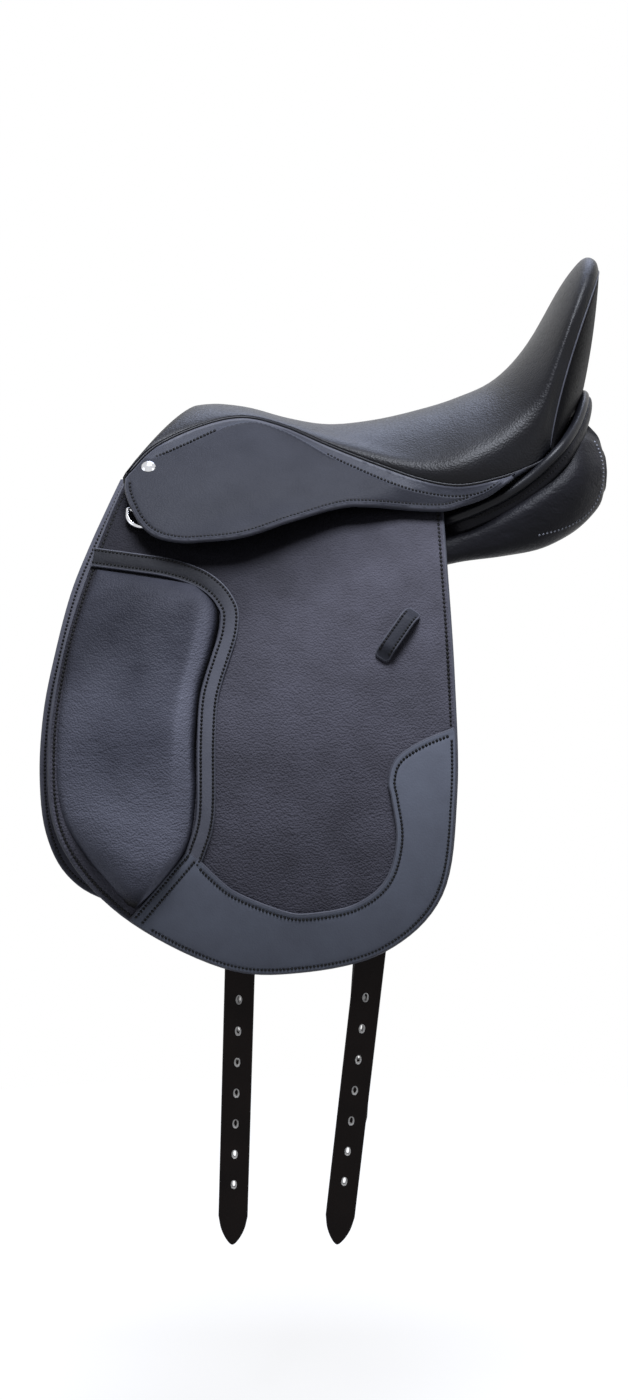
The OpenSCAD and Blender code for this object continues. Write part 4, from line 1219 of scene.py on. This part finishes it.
# %% [markdown]
# ## Skirts
#
# The skirt covers the stirrup bar. Its upper part is fixed and its lobe lifts, along a slanting bend. The
# lobe is lapped over an upper piece that follows the seat, so the relief drops above that line, and the
# upper piece is a little glossier and paler, its paleness painted light for the band that faces up. A bead
# runs where the leather is folded, and grooves where it is sewn.

# %% Shape of the skirts
skirt_thick = 4.5
skirt_middle = skirt_radius - skirt_thick / 2
skirt_points = [
    (-174.4, 68), (-174.2, 59), (-170, 47), (-160, 30), (-146.5, 19), (-127, 13.5), (-108, 13), (-71, 16.5),
    (-29, 31), (8, 43), (34, 44.5), (90, 41), (114, 46), (134, 53.3), (156, 67.8),
]
lap_points = [
    (-149, 84.5), (-123, 96.5), (-92, 110.8), (-66.3, 116), (-42, 108.8), (-22, 98.6), (0, 85.6), (27, 73),
    (54, 61.5), (78.5, 54.4), (107, 51), (130, 54.5), (145, 63),
]
lap_depth = 1.6
lap_fade = 8
skirt_low = spline(skirt_points, 8)
skirt_outline = np.vstack([beside(edge_line[:58], -3.4), skirt_low[::-1]])
skirt_seam = beside(even(skirt_low, 3.0), 4.3)[1:]
skirt_seam = skirt_seam[skirt_seam[:, 0] < 121]
skirt_bead = beside(even(skirt_low, 2.0), 2.4)[2:-6]
lap_line = spline(lap_points, 6)
lap_seam = beside(even(lap_line, 3.0), 2.0)
lap_seams = [lap_seam[lap_seam[:, 0] < -96], lap_seam[lap_seam[:, 0] > -4]]
lap_bead = lap_line[(lap_line[:, 0] > -94) & (lap_line[:, 0] < 8)]


def lap_step(flat):
    """The upper piece lies lower than the lobe that is lapped over it."""
    over = flat[:, 1] - np.interp(flat[:, 0], lap_line[:, 0], lap_line[:, 1])
    first = lap_line[0, 0]
    last = lap_line[-1, 0]
    ends = np.interp(flat[:, 0], [first, first + lap_fade, last - lap_fade, last], [0, 1, 1, 0])
    return -lap_depth * ends / (1 + np.exp(np.clip(1 - over, -8, 8) / 0.35))


def on_skirt(hand):
    """Lays the skirt's pattern; the lobe's edge stands off the bar, and the rear edge lies on the flap."""
    lay = on_side(skirt_middle, hand)

    def place(x, z, height):
        off = 6.5 * smooth((52 - z + 0.25 * np.minimum(x + 40, 0)) / 38 * np.clip((60 - x) / 60, 0, 1))
        sit = 8 * smooth(np.clip((x - 20) / 50, 0, 1) * (66 - z) / 22)
        return lay(x, z + 0.6 * sit, height + off - sit)
    return place


print("lap seams:", [len(seam) for seam in lap_seams], "points")

# %% [markdown]
# The skirt's rear end runs out in a thin tail towards the cantle, and a piping closes the joint between
# skirt and seat. Both are tubes that lie on the side.

# %% Skirts and their piping
lap_offsets = (-1.6, -0.8, 0, 0.8, 1.6, 2.6, 3.6)
piping_in = 1.7
tail_line = spline([(148, 65.5), (158, 71.5), (168, 77.2), (178, 82.6)], 5)
piping_line = beside(edge_line[:73], -piping_in)
for side, hand in hands.items():
    place = on_skirt(hand)
    sink = groove([skirt_seam, lap_seams[0]], depth=0.8, width=1.4)
    bead = groove([lap_bead, skirt_bead], depth=-1.3, width=1.2)
    skirt = add_piece(f"{side}_skirt_hide", [bridle_hide, edge_painted_highlight, upper_band_painted_light], *leather_sheet(
        skirt_outline, place, skirt_thick, rounding=1.5, step=5.0,
        rows=across(lap_line, lap_offsets, 2.0) + across(skirt_seam),
        relief=lambda f: sink(f) + bead(f) + lap_step(f) + ripple(f, size=70, depth=0.4, seed=12.0)))
    # The outer half of the flat faces comes first; above the lap it takes the paler, glossier leather, its
    # paleness painted light
    flats = [face for face in skirt.data.polygons if face.material_index == 0]
    lap_shown = place(*lap_line.T, 0.0) * MM
    for face in flats[:len(flats) // 2]:
        if face.center.z > np.interp(face.center.x, lap_shown[:, 0], lap_shown[:, 2]) + 2 * MM:
            face.material_index = 2
    bend(skirt, side, "skirt", "smooth_leather", f"{side}_skirt_top", f"{side}_skirt")
    seam = sew(f"{side}_skirt_stitches", [skirt_seam], place, skirt_thick / 2 - 0.45, black_thread, width=2.4)
    bend(seam, side, "skirt", "smooth_leather")
    seam = sew(f"{side}_lap_stitches", lap_seams, place, skirt_thick / 2 - 1.2, black_thread, width=2.3)
    carry(seam, "saddle", "smooth_leather")
    tail_path = on_side(skirt_radius - 2.4, hand)(*tail_line.T, 0.0)
    tail = add_piece(f"{side}_skirt_tail", [bridle_hide], *tube(tail_path, 2.2, 2.2, sides=12, ends=5))
    carry(tail, "saddle", "smooth_leather")
    piping_path = on_side(skirt_radius - piping_in, hand)(*piping_line.T, 0.0)
    piping = add_piece(f"{side}_seat_piping", [piping_hide], *tube(piping_path, 1.5, 1.5, sides=10))
    carry(piping, "saddle", "black_leather", f"{side}_seat_welt")
print("skirt faces:", len(skirt.data.polygons))

# %% [markdown]
# ## Panels
#
# The panels are the long cushions that lie on the horse. Each one is lofted through rings that stand across
# the saddle. The ends close in small rings, so they look stuffed and not sawn off.

# %% Panels
# A station's x, then y and z of its inner top, inner foot, outer foot, side and outer top
panel_stations = [
    (-168, (66, 74), (72, 48), (128, -10), (132, 14), (112, 46)),
    (-120, (52, 82), (52, 52), (140, -24), (138, 5), (104, 56)),
    (-60, (42, 94), (40, 46), (142, -28), (140, 0), (92, 66)),
    (0, (38, 76), (36, 26), (138, -24), (136, 2), (96, 56)),
    (60, (38, 56), (34, 14), (134, -14), (132, 8), (94, 42)),
    (110, (38, 52), (34, 8), (118, -3), (128, 14), (114, 26)),
    (150, (38, 72), (34, 12), (114, 3), (127, 26), (119, 41)),
    (185, (38, 94), (36, 22), (106, 10.5), (122, 44), (113, 63)),
    (215, (40, 118), (38, 36), (94, 27), (110, 66), (88, 97)),
    (235, (46, 107), (46, 54), (78, 45), (88, 74), (70, 95)),
    (241, (53, 92), (53, 66), (68, 58), (76, 74), (67, 88)),
]
panel_lines = [spline([(row[0], *row[k]) for row in panel_stations], 6) for k in range(1, 6)]
sweat_inner = 432.3
# Behind this x the panel may stand out further than the sweat flap
free_from_x = 101
ring_sides = 64
# How far each end ring is shrunk and how far it stands out; the front end is longer than the rear one
end_rings = ((0.95, 1.5), (0.8, 3.4), (0.55, 4.7), (0.3, 5.2), (0.05, 5.4))
front_reach = 2
rear_reach = 0.45


def panel_ring(k):
    """One closed ring, clear of the sweat flap on its outer side."""
    corners = [line[k][1:] for line in panel_lines]
    over = [corners[4] + (corners[0] - corners[4]) * f + np.array([0, 2]) for f in (0.33, 0.67)]
    loop = np.array(corners + over)
    loop = spline(np.vstack([loop[-1:], loop, loop[:2]]), 6)[6:-6]
    ring = spread(even(loop, 1.0), ring_sides)[:-1]
    x = panel_lines[0][k][0]
    most = sweat_inner + max(0, (x - free_from_x) * 3)
    wide = np.sqrt(most ** 2 - (ring[:, 1] - side_centre_z) ** 2) - side_centre_y
    return np.column_stack([np.full(ring_sides, x), np.minimum(ring[:, 0], wide), ring[:, 1]])


def end_ring(whole, shrink, reach):
    """The ring shrunk about its middle and moved along the saddle."""
    middle = whole.mean(0)
    return middle + (whole - middle) * shrink + np.array([reach, 0, 0])


panel_rings = [panel_ring(k) for k in range(len(panel_lines[0]))]
front_ring = panel_rings[0]
rear_ring = panel_rings[-1]
for shrink, reach in end_rings:
    panel_rings.insert(0, end_ring(front_ring, shrink, -front_reach * reach))
    panel_rings.append(end_ring(rear_ring, shrink, rear_reach * reach))
panel_faces = loft_faces(len(panel_rings), ring_sides)
panel_points = {side: np.vstack(panel_rings) * np.array([1, hand, 1]) for side, hand in hands.items()}
for side, points in panel_points.items():
    panel = add_piece(f"{side}_panel_pad", [panel_hide], points, panel_faces)
    carry(panel, "saddle", "panel_leather", f"{side}_panel")
print("panel rings:", len(panel_rings))

# %% [markdown]
# The panel's cover is closed by a row of pale stitches round its rear end, and a dark row runs along the
# band. Both lie on rounded shapes, so each stitch is dropped on the shape from the side.

# %% Stitches on rounded shapes
panel_row = spline([(232, 103), (236, 94), (238.5, 79), (237.5, 63), (231, 47), (218.5, 34.5), (200, 25.5),
                    (178, 20)], 6)
band_row = spline([(120, 33.5), (150, 45.5), (174, 60), (193, 77), (207, 93)], 6)
clear_y = 300
near_y = 90


def on_shape(points, faces, hand):
    """Lays a flat pattern on the outer side of a mesh, or on its nearest point where it hangs past it."""
    shape = bvhtree.BVHTree.FromPolygons([tuple(p) for p in points], faces)

    def place(x, z, height):
        made = []
        for px, pz, up in np.broadcast(x, z, height):
            spot, normal = shape.ray_cast(Vector((px, hand * clear_y, pz)), Vector((0, -hand, 0)))[:2]
            if spot is None:
                spot, normal = shape.find_nearest(Vector((px, hand * near_y, pz)))[:2]
            if normal.y * hand < 0:
                normal = -normal
            made.append(np.array(spot) + up * np.array(normal))
        return np.array(made)
    return place


for side, hand in hands.items():
    place = on_shape(panel_points[side], panel_faces, hand)
    seam = sew(f"{side}_panel_stitches", [panel_row], place, 0.0, pale_thread, pitch=3.5, length=2.1,
               width=1.5)
    carry(seam, "saddle", "panel_leather")
    place = on_shape(*band_shape, hand)
    seam = sew(f"{side}_band_stitches", [band_row], place, 0.0, black_thread, width=1.4)
    carry(seam, "saddle", "panel_leather")
print("faces of a band's stitches:", len(seam.data.polygons))

# %% [markdown]
# ## Girth straps
#
# A strap is a long sheet of waxed leather. Under the flap it follows the curve of the side, below the hem it
# hangs straight, and it slants a little. The seven holes are punched through, and their cut walls show the
# pale core of the hide, with painted light making it paler still against the shade inside the holes.

# %% How a strap hangs
strap_radius = 440.8
strap_top_z = 46
strap_turn_z = -340
strap_low = 586
turn_lean = math.asin((strap_turn_z - side_centre_z) / strap_radius)


def on_strap(top_x, slant, hand):
    """Lays a strap's pattern: round the side down to the hem, then straight, all turned by its slant."""
    lay = on_side(strap_radius, hand)
    turn = math.radians(slant)

    def place(x, z, height):
        curved = np.maximum(z, strap_turn_z)
        points = lay(x, curved, height)
        below = curved - z
        points[:, 1] += hand * below * math.sin(turn_lean)
        points[:, 2] -= below * math.cos(turn_lean)
        drop = points[:, 2] - strap_top_z
        swung_x = top_x + points[:, 0] * math.cos(turn) + drop * math.sin(turn)
        swung_z = strap_top_z - points[:, 0] * math.sin(turn) + drop * math.cos(turn)
        return np.column_stack([swung_x, points[:, 1], swung_z])
    return place


print("a strap hangs", round(-math.degrees(turn_lean), 1), "degrees off plumb below the hem")

# %% [markdown]
# The strap's end is cut to a point, a crease is pressed along each edge, and the holes flare to narrow ovals
# with use. The last faces of a sheet are the walls of its holes, so those get the raw cut.

# %% Girth straps
strap_thick = 4.0
strap_half = 12.5
strap_over = 6
crease_in = 3.2
crease_end = 26
tip_shape = [(-1, 27), (-0.8, 15), (-0.42, 5), (0, 0), (0.42, 5), (0.8, 15), (1, 27)]
first_hole = 24
hole_pitch = 28.3
hole_count = 7
hole_angles = np.radians(np.arange(0, 360, 20))
hole_shape = np.column_stack([1.2 * np.cos(hole_angles), 2.9 * np.sin(hole_angles)])
holes = [hole_shape + np.array([0, strap_turn_z - first_hole - i * hole_pitch]) for i in range(hole_count)]
hole_faces = hole_count * edge_bands * len(hole_shape)
# Where each strap hangs along x, and its slant in degrees
straps = {
    "near_front": (-61.5, 2.0), "near_rear": (71.5, 5.9),
    "off_front": (-61.5, 2.9), "off_rear": (71.5, 4.2),
}
for name, (top_x, slant) in straps.items():
    place = on_strap(top_x, slant, hands[name.split("_")[0]])
    length = (strap_top_z + strap_low) / math.cos(math.radians(slant)) - (strap_top_z - strap_turn_z)
    end = strap_turn_z - length / math.cos(turn_lean)
    tip = spline([(strap_half * wide, end + up) for wide, up in tip_shape], 5)
    top = [(strap_half, strap_top_z + strap_over), (-strap_half, strap_top_z + strap_over)]
    outline = np.vstack([top, tip])
    creases = [np.array([(x, strap_top_z), (x, end + crease_end)])
               for x in (crease_in - strap_half, strap_half - crease_in)]
    strap = add_piece(f"{name}_strap_hide", [strap_butt, strap_butt, raw_core_and_painted_light], *leather_sheet(
        outline, place, strap_thick, rounding=1.4, step=5.0, holes=holes,
        rows=[row for crease in creases for row in across(crease, (-1, 0, 1), 4.0)],
        relief=groove(creases, depth=0.35, width=0.9)))
    for face in strap.data.polygons[-hole_faces:]:
        face.material_index = 2
    carry(strap, f"{name}_strap", "strap_leather", f"{name}_strap")
print("strap faces:", len(strap.data.polygons), "of them in holes:", hole_faces)

# %% [markdown]
# ## Sizes
#
# The dressed saddle must stay as large as its solids. How far its box has grown past theirs is printed.

# %% Sizes and finish
dressed_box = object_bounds()
grown = [[round(1000 * (b - a), 1) for a, b in zip(old, new)] for old, new in zip(cad_box, dressed_box)]
print("grown by (mm):", grown)
